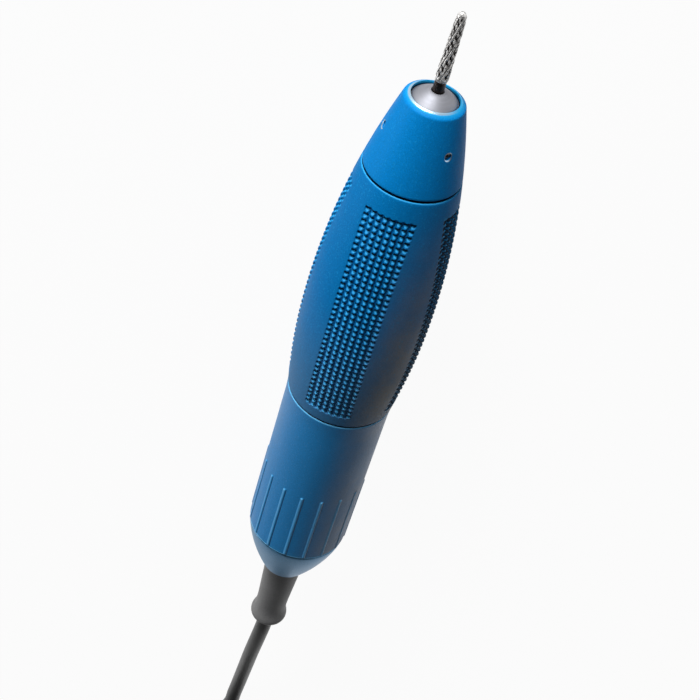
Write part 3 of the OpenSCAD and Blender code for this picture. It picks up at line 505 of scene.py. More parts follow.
def anodised(name, color, pale, roughness, gloss, metallic=0.0, rear_sheen=None, bare=None,
             painted_sheen=0.0, painted_highlight=0.75, highlight_to=None, sparkle=0.34):
    """Blasted and anodised aluminium: fine grain, faint drifts of tone, painted shade in marked hollows and
    painted highlights on marked edges.

    rear_sheen is a greyer colour painted as sheen over the rear of the grip, and bare is one for
    the front lip. painted_sheen is how much grey is painted as sheen on the tool's -Y side, most towards the
    rear.
    painted_highlight is how far the marked places go to highlight_to, or to pale where that isn't given.
    """
    m = new_material(name, color, roughness, metallic, Specular_IOR_Level=gloss)
    at = object_coordinates(m)
    grain = noise(m, at, 3600, 2.0, 0.7)
    drift = noise(m, at, 55, 3.0, 0.5)
    specks = ramp(m, noise(m, at, 2300, 1.0), [(0.62, 0.0), (0.71, 1.0)])
    body = mix_color(m, drift, tuple(0.92 * c for c in color), tuple(min(1, 1.08 * c) for c in color))
    axes = tree_node(m, "ShaderNodeSeparateXYZ")
    link(m, at, axes.inputs[0])
    # Painted sheen: the rear of the grip turns greyer
    if rear_sheen:
        body = mix_color(m, span(m, axes.outputs["X"], *REAR_SHEEN_ALONG), body, rear_sheen)
    # Painted sheen: grey painted unevenly on the -Y side, most towards the rear
    if painted_sheen:
        sheen_share = maths(m, "MULTIPLY", span(m, axes.outputs["Y"], *SHEEN_ACROSS),
                     span(m, axes.outputs["X"], *SHEEN_ALONG))
        uneven = span(m, noise(m, at, 140, 4.0, 0.6), 0.3, 0.7, 0.6, 1.0)
        sheen_share = maths(m, "MULTIPLY", sheen_share, maths(m, "MULTIPLY", uneven, painted_sheen))
        body = mix_color(m, sheen_share, body, SHEEN_GREY)
    body = mix_color(m, 1.0, body, ramp(m, grain, [(0.3, 0.84), (0.7, 1.14)]), "MULTIPLY")
    body = mix_color(m, maths(m, "MULTIPLY", specks, sparkle), body, pale)
    # Painted highlight: the marked places turn pale
    body = mix_color(m, maths(m, "MULTIPLY", marked(m, "painted_highlight"), painted_highlight), body, highlight_to or pale)
    # Painted shade: the marked hollows and seams turn nearly black
    painted_shade_color = tuple(0.05 * c for c in color)
    body = mix_color(m, span(m, marked(m, "painted_shade"), 0.12, 0.62, 0.0, 0.93), body, painted_shade_color)
    rough = span(m, drift, 0.3, 0.7, roughness - 0.05, roughness + 0.06)
    if bare:
        lip = span(m, axes.outputs["X"], LIP_FROM, LIP_TO)
        lip = maths(m, "MULTIPLY", lip, maths(m, "SUBTRACT", 1.0, span(m, marked(m, "painted_shade"), 0.0, 0.2)))
        # The lip's worn-through side, which also stands as a painted highlight, lies towards +Y and +Z
        towards = maths(m, "ADD", maths(m, "MULTIPLY", axes.outputs["Y"], LIP_WORN_HIGHLIT_Y),
                        maths(m, "MULTIPLY", axes.outputs["Z"], LIP_WORN_HIGHLIT_Z))
        highlit = span(m, towards, *LIP_WORN_HIGHLIT_SPAN)
        # Painted highlight: a pale band just behind the lip, and the lip itself pale or bare all round
        body = mix_color(m, span(m, axes.outputs["X"], LIP_HIGHLIGHT_FROM, LIP_TO, 0.0, 0.8), body, BLUE_PALE)
        body = mix_color(m, lip, body, mix_color(m, highlit, BLUE_PALE, bare))
        shiny = maths(m, "MAXIMUM", maths(m, "MULTIPLY", lip, 0.9), marked(m, "bare"))
        body = mix_color(m, marked(m, "bare"), body, bare)
        link(m, shiny, shader_of(m).inputs["Metallic"])
        rough = mix_value(m, shiny, rough, 0.30)
    set_color(m, body)
    link(m, rough, shader_of(m).inputs["Roughness"])
    bump(m, grain, 0.00005, 0.5)
    return m


def turned_metal(name, color, roughness, scratch=0.10):
    """Turned metal: fine rings round the axis and a few faint stains."""
    m = new_material(name, color, roughness, 1.0)
    rings = noise(m, object_coordinates(m, (1, 0.03, 0.03)), 9000, 2.0)
    stains = noise(m, object_coordinates(m), 160, 3.0)
    dark = tuple((1 - scratch) * c for c in color)
    light = tuple(min(1.0, (1 + scratch) * c) for c in color)
    body = mix_color(m, rings, dark, light)
    body = mix_color(m, ramp(m, stains, [(0.55, 0.0), (0.8, 0.35)]), body, dark)
    set_color(m, body)
    set_roughness(m, rings, roughness - 0.06, roughness + 0.10)
    bump(m, rings, 0.00001, 0.5)
    return m


BLOOM_GAIN, BLOOM_LIFT = 1.3, 0.005  # how a moulded colour pales where it has bloomed


def moulded(name, color, roughness, per_metre=2600, depth=0.00003):
    """Rubber or plastic with a fine moulded texture and a slight bloom."""
    m = new_material(name, color, roughness)
    at = object_coordinates(m)
    pores = noise(m, at, per_metre, 3.0, 0.6)
    bloom = noise(m, at, 90, 4.0, 0.6)
    pale = tuple(min(1.0, BLOOM_GAIN * c + BLOOM_LIFT) for c in color)
    body = mix_color(m, ramp(m, bloom, [(0.35, 0.0), (0.75, 1.0)]), color, pale)
    body = mix_color(m, 1.0, body, ramp(m, pores, [(0.3, 0.88), (0.7, 1.08)]), "MULTIPLY")
    set_color(m, body)
    set_roughness(m, bloom, roughness - 0.06, roughness + 0.08)
    bump(m, pores, depth, 0.6)
    return m


def woven(name, color):
    """Hook-and-loop strap: a close plain weave with a felted nap."""
    m = new_material(name, color, 0.95, 0.0, Sheen_Weight=0.4, Sheen_Roughness=0.5)
    at = object_coordinates(m)
    along = tree_node(m, "ShaderNodeTexWave", wave_type="BANDS", bands_direction="X")
    along.inputs["Scale"].default_value = 500
    link(m, at, along.inputs["Vector"])
    nap = noise(m, at, 3000, 3.0, 0.7)
    weave = maths(m, "ADD", along.outputs["Fac"], nap)
    set_color(m, mix_color(m, nap, tuple(0.6 * c for c in color), tuple(1.9 * c for c in color)))
    bump(m, weave, 0.00012, 0.7)
    return m


def carbide(name):
    """Ground carbide teeth: bright broken lands, and black painted shade in the marked gullets."""
    m = new_material(name, (0.42, 0.40, 0.38), 0.26, 0.6)
    at = object_coordinates(m)
    fine = noise(m, at, 5200, 3.0, 0.7)
    broken = ramp(m, noise(m, at, 1900, 2.0, 0.6), [(0.38, 0.25), (0.50, 1.0)])
    # Painted shade: the marked gullets turn nearly black
    body = mix_color(m, span(m, marked(m, "painted_shade"), 0.20, 0.62), (1.0, 0.98, 0.96), (0.03, 0.022, 0.02))
    body = mix_color(m, 1.0, body, broken, "MULTIPLY")
    set_color(m, mix_color(m, 1.0, body, ramp(m, fine, [(0.30, 0.6), (0.70, 1.0)]), "MULTIPLY"))
    set_roughness(m, fine, 0.28, 0.62)
    bump(m, fine, 0.00004, 0.8)
    return m


MATERIALS = {
    "blue_anodised": anodised("blue_anodised", BLUE, BLUE_PALE, 0.5, 0.06, bare=LIP_BARE),
    "grey_blue_anodised": anodised(
        "grey_blue_anodised", CAP_BLUE, CAP_PALE, 0.42, 0.5, metallic=0.6, sparkle=0.12),
    "steel": turned_metal("steel", (0.62, 0.62, 0.63), 0.30),
    "dark_steel": turned_metal("dark_steel", (0.17, 0.165, 0.16), 0.34),
    "brass": turned_metal("brass", (0.72, 0.53, 0.24), 0.28),
    "copper": turned_metal("copper", (0.66, 0.33, 0.17), 0.36),
    "magnet": moulded("magnet", (0.05, 0.05, 0.055), 0.45),
    "black_rubber": moulded("black_rubber", (0.155, 0.155, 0.157), 0.50),
    "lead_sheath": moulded("lead_sheath", (0.034, 0.035, 0.035), 0.42, 3200, 0.00002),
    "coupling_elastomer": moulded("coupling_elastomer", (0.45, 0.05, 0.04), 0.55),
    "black_plastic": moulded("black_plastic", (0.035, 0.035, 0.038), 0.42),
    "carbon": moulded("carbon", (0.03, 0.03, 0.03), 0.6),
    "board": moulded("board", (0.03, 0.16, 0.06), 0.4),
    "tie_fabric": woven("tie_fabric", (0.030, 0.030, 0.033)),
}
CARBIDE = carbide("carbide")
DISC_STEEL = turned_metal("disc_steel", (0.29, 0.295, 0.325), 0.60, 0.14)
SHANK_STEEL = turned_metal("shank_steel", (0.055, 0.042, 0.038), 0.30, 0.4)
# The grip's and barrel's own materials carry painted sheen and painted highlight; painted shade comes from
# the marks
GRIP_PAINTED_LIGHT = anodised(
    "blue_anodised_grip_painted_light", GRIP_BLUE, BLUE_PALE, 0.5, 0.06,
    rear_sheen=GRIP_SHEEN_GREY, painted_sheen=0.9, painted_highlight=0.6, highlight_to=GRIP_HIGHLIGHT)
BARREL_PAINTED_LIGHT = anodised(
    "blue_anodised_barrel_painted_light", BARREL_BLUE, BARREL_PALE, 0.44, 0.26,
    painted_sheen=0.5, painted_highlight=1.0, highlight_to=BARREL_HIGHLIGHT, sparkle=0.12)
for row in frame["record"]["subparts"]:
    data = NODES[row["node"]].data
    data.materials.clear()
    data.materials.append(MATERIALS[row["material_slot"]])


def dress(piece, material=None):
    piece.data.materials.append(material or MATERIALS[piece["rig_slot"]])
    return piece


dress(lead)

# ---------------------------------------------------------------- grip sleeve
PANEL_TURN = math.radians(-6.45)
PANELS, PANEL_ROWS, LONG_PITCH = 4, 8, 1.41
CROSS_GROOVES, CROSS_PITCH, GROOVE_DEPTH = 39, 1.47, 0.6
PANEL_FROM = REAR_SEAM + 4.17
PANEL_TO = PANEL_FROM + CROSS_PITCH * (CROSS_GROOVES - 1)
FLAT_FROM = 0.78  # where a groove's flank meets the pyramid's small flat top, in half pitches
FLANK_ROWS = (-FLAT_FROM, -0.58, -0.18, 0, 0.3, FLAT_FROM, 1)
FLANK_COLUMNS = (-FLAT_FROM, -0.5, -0.25, 0, 0.25, 0.5, FLAT_FROM)
RUN_OUT = (0.45, 0.50)  # a long groove runs level this far past the last cross groove, then rises
SIDE_OUT = (3.66, 0.28)  # the same for the ends of cross grooves, in long pitches from the panel's middle
PLAIN_STEPS = 12
GRIP_GAP = 0.25  # from the rear seam to the sleeve
GRIP_BORE = 10.2
EDGE_STEPS = (0, 0.03, 0.10, 0.2)  # rows of a rounded edge, from its face inwards
EDGE_DROP = (0.30, 0.20, 0.09, 0.02)  # and how far each lies below the skin
PLAIN = 99.0  # stands for a column that no panel reaches
SHADED_PANEL = math.radians(84)  # the middle of the side whose cross grooves are painted black as shade
SHADED_PANEL_COS = 0.75  # cosine of how far that paint reaches to either side


def groove_depth(s, across):
    """Depth below the skin; across is in long pitches from the middle of the panel."""
    k = np.clip(np.round((s - PANEL_FROM) / CROSS_PITCH), 0, CROSS_GROOVES - 1)
    to_cross = np.abs(s - PANEL_FROM - k * CROSS_PITCH) / (CROSS_PITCH / 2)
    side = np.clip(np.abs(across) - SIDE_OUT[0], 0, None) / SIDE_OUT[1]
    cross = 1 - to_cross / FLAT_FROM - side
    last = PANEL_ROWS / 2 - 1
    to_long = np.abs(across - np.clip(np.round(across), -last, last)) * 2
    past = np.clip(np.maximum(PANEL_FROM - s, s - PANEL_TO) - RUN_OUT[0], 0, None) / RUN_OUT[1]
    along = 1 - to_long / FLAT_FROM - past
    return GROOVE_DEPTH * np.clip(1.05 * np.maximum(cross, along), 0, 1)


def make_grip():
    half_pitch = CROSS_PITCH / 2
    lead_in = (1.15, 1.3, 1.5, 1.7)
    fine = [PANEL_FROM - d * half_pitch for d in lead_in[::-1] + (1,)]
    for k in range(CROSS_GROOVES):
        fine += [PANEL_FROM + k * CROSS_PITCH + d * half_pitch for d in FLANK_ROWS]
    fine += [PANEL_TO + d * half_pitch for d in lead_in]
    rear_end, front_end = REAR_SEAM + GRIP_GAP, FRONT_SEAM - 0.2
    rear = [rear_end + d for d in EDGE_STEPS + (0.35,)] + list(np.linspace(67.5, fine[0], 6)[:-1])
    front = list(np.linspace(fine[-1], front_end - 0.35, 7)[1:]) + [front_end - d for d in EDGE_STEPS[::-1]]
    s = np.array(rear + fine + front)
    inset = np.zeros(len(s))
    inset[:4] = EDGE_DROP
    inset[-4:] = EDGE_DROP[::-1]
    half = PANEL_ROWS / 2
    edge = [half + d for d in (0.05, -0.05, -0.2, -0.34)]
    across = [-x for x in edge]
    for c in range(PANEL_ROWS - 1):
        across += [1 - half + c + d / 2 for d in (-1,) + FLANK_COLUMNS]
    across += [half - 0.5] + edge[::-1]
    r = grip_r(s)
    half_angle = np.arcsin(PANEL_ROWS * LONG_PITCH / 2 / r)
    columns, reach = [], []
    for p in range(PANELS):
        base = PANEL_TURN + p * 2 * math.pi / PANELS
        for x in across:
            columns.append(base + half_angle * x / half)
            reach.append(x)
        start = half_angle * edge[0] / half
        for t in np.linspace(0, 1, PLAIN_STEPS + 1)[1:-1]:
            columns.append(base + start + t * (2 * math.pi / PANELS - 2 * start))
            reach.append(PLAIN)
    phi = np.stack(columns, 1)
    reach = np.array(reach)[None, :]
    depth = groove_depth(s[:, None], reach)
    points = on_tool(s[:, None], (r - inset)[:, None] - depth, phi)
    # Each cell's diagonal follows the ridges of its pyramid
    mid_s = (s[:-1] + s[1:]) / 2
    mid_x = (reach[0] + np.roll(reach[0], -1)) / 2
    along = ((mid_s - PANEL_FROM) / CROSS_PITCH) % 1 < 0.5
    side = mid_x % 1 < 0.5
    way = along[:, None] == side[None, :]
    inner = [(front_end, 9.0), (127.6, 9.0), (127.6, GRIP_BORE), (rear_end, GRIP_BORE)]
    inner_rows = np.stack([on_tool(a, b, phi[len(s) // 2]) for a, b in inner])
    points = np.concatenate([points, inner_rows])
    ways = np.concatenate([way, np.ones((len(inner) + 1, way.shape[1]), bool)])
    mesh = soften(grid_mesh("grip_shell", points, close_rows=True, diagonals=ways), 30)
    shade_paint, highlight_paint = grip_painted_light(s, phi, reach)
    rest = np.ones((len(inner), depth.shape[1]))
    # These marks carry the painted shade and painted highlight into the material
    mark(mesh, "painted_shade", np.concatenate([shade_paint, rest]))
    mark(mesh, "painted_highlight", np.concatenate([highlight_paint, 0 * rest]))
    return add_object("grip_shell", mesh, "grip", "blue_anodised", ["grip_sleeve"])


def grip_painted_light(s, phi, reach):
    """How much painted shade and how much painted highlight each point of the grip gets.

    off is how far a point lies from its cross groove, in half pitches and positive towards the nose;
    beside is 1 in the middle of a long groove and 0 on the line of tops.
    """
    groove = np.clip(np.round((s - PANEL_FROM) / CROSS_PITCH - 1e-6), 0, CROSS_GROOVES - 1)
    off = ((s - PANEL_FROM - groove * CROSS_PITCH) / (CROSS_PITCH / 2))[:, None]
    beside = np.abs(reach - np.floor(reach) - 0.5) * 2 + 0 * off
    # Painted shade lies on the flanks that face the rear, away from the light; those that face the nose get a
    # painted highlight
    shade_paint = np.interp(off, (-0.18, 0, 0.3, FLAT_FROM, 1), (0, 0.85, 1, 0.6, 0))
    shade_paint = shade_paint * np.interp(beside, (0.55, 0.8, 1), (1, 0.25, 0))
    highlight_paint = np.interp(off, (-FLAT_FROM, -0.58, -0.18, 0), (0, 0.8, 1, 0))
    highlight_paint = highlight_paint * np.interp(beside, (0.25, 0.55), (1, 0))
    # Painted shade: a little on the nose-facing flanks towards the long grooves
    shade_paint = np.maximum(shade_paint, 0.30 * (off < -0.1) * (off > -0.9) * (beside > 0.4))
    # The cross grooves of the -Y side are painted black from flank to flank as shade, and their tops get a
    # painted highlight
    black = np.cos(phi - SHADED_PANEL) > SHADED_PANEL_COS
    shade_paint = np.where(black, np.interp(off, (-0.7, -0.55, 0.5, FLAT_FROM), (0, 1, 1, 0.2)), shade_paint)
    highlight_paint = np.where(black, np.interp(np.abs(off), (0.6, 0.75), (0, 0.55)), highlight_paint)
    on_panel = (np.abs(reach) < PANEL_ROWS / 2) & (np.abs(off) < 1.5)
    shade_paint, highlight_paint = shade_paint * on_panel, highlight_paint * on_panel
    # The sleeve's own edges get a painted highlight and the faces in its two seams get painted shade
    highlight_paint[-3:-1] = 0.9
    highlight_paint[1:3] = 0.4
    shade_paint[-1], shade_paint[0] = 1.0, 1.0
    return shade_paint, highlight_paint


dress(make_grip(), GRIP_PAINTED_LIGHT)

# ---------------------------------------------------------------- rear barrel and end cap
RIBS, RIB_R, RIB_HEIGHT, RIB_END = 16, 0.6, 0.2, 39.2
RIB_TURN = math.radians(-2.7)
RIB_FROM = DOME_S + 0.45
BARREL_BORE = 11.1
FLARE_S = 61  # where the barrel begins to swell towards the grip
RIB_FOOT = 0.46  # from a rib's middle to where it meets the barrel
FAR = 9.0  # stands for a column between two ribs


def rib_height(x, s):
    """Height of a ball-ended rib at x across it, with a small fillet at its foot."""
    past = np.clip(s - RIB_END, 0, None)
    raw = np.sqrt(np.clip(RIB_R ** 2 - x ** 2 - past ** 2, 0, None)) - (RIB_R - RIB_HEIGHT)
    fillet = 0.02
    start = np.clip((s - RIB_FROM) / 0.2, 0, 1)
    return np.clip((raw + np.sqrt(raw ** 2 + fillet ** 2)) / 2 - 0.002, 0, None) * start


def make_barrel():
    end = REAR_SEAM - 0.15
    s = [DOME_S + d for d in (0, 0.08, 0.18, 0.28, 0.36, 0.45, 0.52, 0.6, 0.66, 1.0)]
    s += list(np.linspace(18.5, 38.6, 14))
    s += list(np.linspace(38.9, 40.1, 19)) + list(np.linspace(41, FLARE_S, 11))
    s += list(np.linspace(FLARE_S + 1, end - 0.4, 8)) + [end - d for d in (0.25, 0.12, 0.04, 0)]
    s = np.array(s)
    flare = np.clip((s - FLARE_S) / (REAR_SEAM - FLARE_S), 0, None) ** 2
    flare = (float(grip_r(REAR_SEAM)) - BARREL_R) * flare
    inset = np.zeros(len(s))
    inset[:5] = (0.35, 0.27, 0.17, 0.08, 0.02)
    inset[-4:] = (0.02, 0.07, 0.15, 0.25)
    offsets = [0.04, 0.12, 0.22, 0.31, 0.38, 0.43, 0.46, 0.50, 0.56, 0.66]
    offsets = [-x for x in offsets[::-1]] + offsets
    sector = 2 * math.pi / RIBS
    columns, across = [], []
    for k in range(RIBS):
        for x in offsets:
            columns.append(RIB_TURN + k * sector + x / BARREL_R)
            across.append(x)
        start, stop = offsets[-1] / BARREL_R, sector + offsets[0] / BARREL_R
        for t in np.linspace(start, stop, 6)[1:-1]:
            columns.append(RIB_TURN + k * sector + t)
            across.append(FAR)
    phi, across = np.array(columns)[None, :], np.array(across)[None, :]
    rise = rib_height(across, s[:, None])
    points = on_tool(s[:, None], (BARREL_R + flare - inset)[:, None] + rise, phi)
    inner = np.concatenate([on_tool(a, BARREL_BORE, phi) for a in (end, DOME_S)])
    mesh = soften(grid_mesh("barrel_shell", np.concatenate([points, inner]), close_rows=True), 50)
    # Ribs get a painted highlight along one side and most at their ends, and both ends of the barrel get it
    # at their edges
    highlit = np.clip(rise / RIB_HEIGHT, 0, 1) * np.where(s[:, None] > RIB_END - 0.2, 1.0, 0.45) * (across < 0.2)
    highlit[1:8] = 1.0
    highlit[-4:-1] = 0.8
    # Painted shade lies along one foot of each rib and in the two seams
    ribbed = (s > RIB_FROM) & (s < RIB_END + 0.3)
    foot = 0.6 * np.exp(-((across - RIB_FOOT) / 0.09) ** 2) * ribbed[:, None]
    foot[0], foot[-1] = 1.0, 1.0
    rest = np.ones((2, rise.shape[1]))
    mark(mesh, "painted_highlight", np.concatenate([highlit, 0 * rest]))
    mark(mesh, "painted_shade", np.concatenate([foot, rest]))
    return add_object("barrel_shell", mesh, "housing", "blue_anodised", ["rear_barrel"])


dress(make_barrel(), BARREL_PAINTED_LIGHT)

rim = DOME_S - 0.05
cap_outer = [(s, float(dome_r(s))) for s in np.linspace(0.55, rim - 0.4, 26)]
rim_r = float(dome_r(rim))
cap_profile = rounded([(2.6, 4.9), (0, 4.9), (0, float(dome_r(0)) - 0.35)], [0, 0.15, 0.3]) + cap_outer
cap_profile += [(rim - 0.3, rim_r - 0.06), (rim - 0.18, rim_r - 0.16), (rim, rim_r - 0.35)]
cap_profile += [(rim, BARREL_BORE - 0.02), (18.6, BARREL_BORE - 0.02), (18.6, 9.8)]
cap_profile += [(s, float(dome_r(s)) - 1.3) for s in np.linspace(15.2, 2.6, 9)]
dress(lathe("cap_shell", cap_profile, "housing", "grey_blue_anodised", ["end_cap"], sides=160))

# ---------------------------------------------------------------- bend relief
boot_profile = rounded(
    [(-25, LEAD_R + 0.02), (-25, 3.05), (-24.3, 4.0), (-23.4, 4.62), (-22.6, 4.80), (-21.8, 4.70),
     (-20.9, 4.42), (-19.8, 4.16), (-18.4, 4.02), (-16, 4.06), (-2.6, 4.75), (2.6, 4.75), (2.6, 5.55),
     (4.4, 5.55), (4.4, LEAD_R + 0.02)],
    [0.1, 0.3, 0.5, 0.5, 0.5, 0.5, 0.5, 0.6, 1.0, 2.0, 1.0, 0, 0.2, 0.2, 0])
dress(lathe("bend_relief", boot_profile, "housing", "black_rubber", ["cord_boot"], sides=96))

# ---------------------------------------------------------------- nose cone, screws, dust disc
SCREW_ANGLES = [math.radians(a) for a in (45, 165, -75)]
SCREW_S = 142.0
cone_rear = FRONT_SEAM + 0.25
cone_profile = [(cone_rear, 8.32), (cone_rear, float(grip_r(cone_rear)) - 0.28)]
for a, b in ((0.05, 0.18), (0.14, 0.07), (0.28, 0.01)):
    cone_profile.append((cone_rear + a, float(grip_r(cone_rear + a)) - b))
LIP_S, LIP_R = 149.55, 0.6  # where the skin turns in to the crowned front, and the radius of that turn
MOUTH_R, MOUTH_S = 5.0, 150.5
cone_profile += [(s, float(grip_r(s))) for s in np.linspace(cone_rear + 0.6, LIP_S - 0.35, 30)]
skin_r = float(grip_r(LIP_S))
for a in np.radians(np.linspace(5, 62, 8)):
    lip_r = skin_r - LIP_R + LIP_R * math.cos(a) + 0.06 * (1 - a)
    cone_profile.append((LIP_S - 0.25 + LIP_R * math.sin(a), lip_r))
cone_profile += [(MOUTH_S - 0.14, MOUTH_R + 0.36), (MOUTH_S - 0.03, MOUTH_R + 0.2), (MOUTH_S, MOUTH_R + 0.1),
                 (MOUTH_S - 0.03, MOUTH_R + 0.03), (MOUTH_S - 0.1, MOUTH_R), (146.4, MOUTH_R), (146.4, 6.1),
                 (139.4, 6.1), (139.4, 8.32)]


def cut_away(piece, profile, angle, lean=0.0, sides=48):
    """Takes a round hole out of the piece at that angle; profile is (height above SCREW_TOP, radius) pairs.

    lean tilts the hole from the radius towards the front, so that it stands square to the cone's skin.
    """
    out = Vector((math.sin(lean), -math.sin(angle) * math.cos(lean), math.cos(angle) * math.cos(lean)))
    turn_to = Vector((0, 0, 1)).rotation_difference(out).to_matrix().to_4x4()
    radius = Vector((0, -math.sin(angle), math.cos(angle))) * SCREW_TOP
    at = Matrix.Translation((Vector((SCREW_S - MID_S, 0, AXIS_Z)) + radius) * MM)
    phi = np.linspace(0, 2 * math.pi, sides, endpoint=False)[None, :]
    h, r = np.asarray(profile, float)[:, 0:1], np.asarray(profile, float)[:, 1:2]
    rings = np.stack(np.broadcast_arrays(r * np.cos(phi), r * np.sin(phi), h), -1) * MM
    data = capped(grid_mesh("cutter", rings))
    data.transform(at @ turn_to)
    cutter = bpy.data.objects.new("cutter", data)
    scene.collection.objects.link(cutter)
    cut = piece.modifiers.new("cut", "BOOLEAN")
    cut.operation, cut.object, cut.solver = "DIFFERENCE", cutter, "EXACT"
    bpy.context.view_layer.update()
    result = bpy.data.meshes.new_from_object(piece.evaluated_get(bpy.context.evaluated_depsgraph_get()))
    piece.modifiers.clear()
    piece.data = result
    bpy.data.objects.remove(cutter)


SCREW_TOP = float(grip_r(SCREW_S))
CONE_LEAN = math.atan(float(grip_r(SCREW_S - 0.5) - grip_r(SCREW_S + 0.5)))


def make_cone():
    cone = lathe("nose_shell", cone_profile, "housing", "blue_anodised", ["nose_cone"], sides=256)
    for angle in SCREW_ANGLES:
        cut_away(cone, [(-3.4, 0.8), (1.5, 0.8)], angle)
        cut_away(cone, [(-0.22, 0.72), (0.2, 1.26)], angle, CONE_LEAN)
    soften(cone.data, 28)
    cone.data.materials.clear()
    spots = np.array([v.co for v in cone.data.vertices]) / MM - (0, 0, AXIS_Z)
    radius = np.hypot(spots[:, 1], spots[:, 2])
    seam = spots[:, 0] < cone_rear - MID_S + 0.01
    # Painted shade: the mouth's inner wall and the face in the rear seam are marked dark
    mark(cone.data, "painted_shade", ((radius < MOUTH_R + 0.01) | seam) * 1.0)
    bare = np.zeros(len(cone.data.polygons))
    for angle in SCREW_ANGLES:
        radial = np.array((0, -math.sin(angle), math.cos(angle)))
        out = math.sin(CONE_LEAN) * np.array((1, 0, 0)) + math.cos(CONE_LEAN) * radial
        foot = (SCREW_S - MID_S) * np.array((1, 0, 0)) + SCREW_TOP * radial
        off = spots - foot
        height = off @ out
        aside = np.linalg.norm(off - height[:, None] * out, axis=1)
        near = (aside < 1.12) & (height < 0.06) & (height > -1.2)
        for face in cone.data.polygons:
            if all(near[k] for k in face.vertices):
                bare[face.index] = 1
    mark(cone.data, "bare", bare, "FACE")
    return cone


dress(make_cone())

# A domed cap: its rim stands 0.6 mm under the lip and its middle 1.45 mm proud of it
RIM_S, CROWN_S, RIM_R = 149.9, 151.95, 4.8
HUB_R = 1.45
CROWN_POWER = 1.35
disc_crown = []
for r in np.linspace(RIM_R - 0.15, HUB_R, 12):
    inwards = 1 - ((r - HUB_R) / (RIM_R - 0.15 - HUB_R)) ** CROWN_POWER
    disc_crown.append((RIM_S + (CROWN_S - RIM_S) * inwards, r))
disc_profile = rounded(
    [(147.4, 1.325), (147.4, 4.1), (145, 4.1), (145, 3.52), (144.6, 3.52), (144.6, 4.5), (147, 4.5),
     (147, RIM_R), (RIM_S - 0.12, RIM_R)],
    [0, 0.1, 0, 0, 0, 0, 0.1, 0.1, 0.1])
disc_profile += disc_crown + [(CROWN_S, 1.36), (CROWN_S - 0.08, 1.325)]
dress(lathe("dust_disc_turned", disc_profile, "spindle", "steel", ["dust_disc"], sides=128), DISC_STEEL)

# ---------------------------------------------------------------- burr
TEETH = 6


def head_envelope(u):
    base, tip = 1.42, 1.02
    r = base + (tip - base) * u
    r = np.where(u < 0.04, base - 0.2 + 5 * u, r)
    cap = tip * np.sqrt(np.clip(1 - ((u - 0.9) / 0.1) ** 2, 0, 1))
    return np.where(u > 0.9, cap, r)


def make_burr_head():
    round_tip = 0.9 + 0.1 * np.sin(np.linspace(0, math.pi / 2, 20)[1:])
    u = np.concatenate([np.linspace(0, 0.9, 150), round_tip])[:, None]
    a = np.linspace(0, 1, 144, endpoint=False)[None, :]
    tooth = (TEETH * a + 7.6 * u + 0.06 * np.sin(2 * math.pi * (3 * a + 2.3 * u))) % 1
    cross = (-11 * a + 5.3 * u) % 1
    fade = np.minimum(1, np.minimum(10 * u, np.clip((0.97 - u) * 14, 0, 1)))
    leaf = np.clip(0.62 + 0.75 * np.sin(2 * math.pi * (4 * a - 3.1 * u) + 0.6), 0.12, 1)
    gullet = 0.30 * np.clip((0.66 - tooth) / 0.66, 0, 1) ** 0.7 * np.clip(tooth / 0.08, 0, 1) * leaf
    chip = 0.5 + 0.5 * np.sin(2 * math.pi * (5 * a + 9.3 * u)) * np.sin(2 * math.pi * (13 * a - 21 * u))
    notch = 0.20 * np.exp(-((cross - 0.5) / 0.15) ** 2) * (0.5 + 0.7 * chip)
    r = np.clip(head_envelope(u) - (gullet + notch) * fade, 0.0, None)
    s = BURR_TIP_S - HEAD_LEN * (1 - u)
    points = on_tool(s, r, 2 * math.pi * a)
    core = on_tool(BURR_TIP_S - HEAD_LEN, 0.6, 2 * math.pi * a)
    mesh = soften(grid_mesh("burr_cutter", np.concatenate([core, points])), 45)
    # Painted shade: the gullets and notches are marked dark by their depth
    painted_shade = np.clip((gullet + notch) * fade / 0.34, 0, 1)
    mark(mesh, "painted_shade", np.concatenate([np.zeros(a.shape), painted_shade]))
    return add_object("burr_cutter", mesh, "burr", "steel", ["burr_head"])


dress(make_burr_head(), CARBIDE)
NODES["burr_shank"].data.materials[0] = SHANK_STEEL

# ---------------------------------------------------------------- tie and plug
def hull_outline(circles, count):
    """Points of the line round a set of (y, z, r) circles, and the outward direction at each."""
    circles = np.asarray(circles, float)
    angle = np.linspace(0, 2 * math.pi, count, endpoint=False)
    out = np.stack([np.cos(angle), np.sin(angle)], 1)
    best = np.argmax(out @ circles[:, :2].T + circles[:, 2], 1)
    return circles[best, :2] + circles[best, 2:3] * out, out


TIE_W, TIE_T = 12.0, 1.25


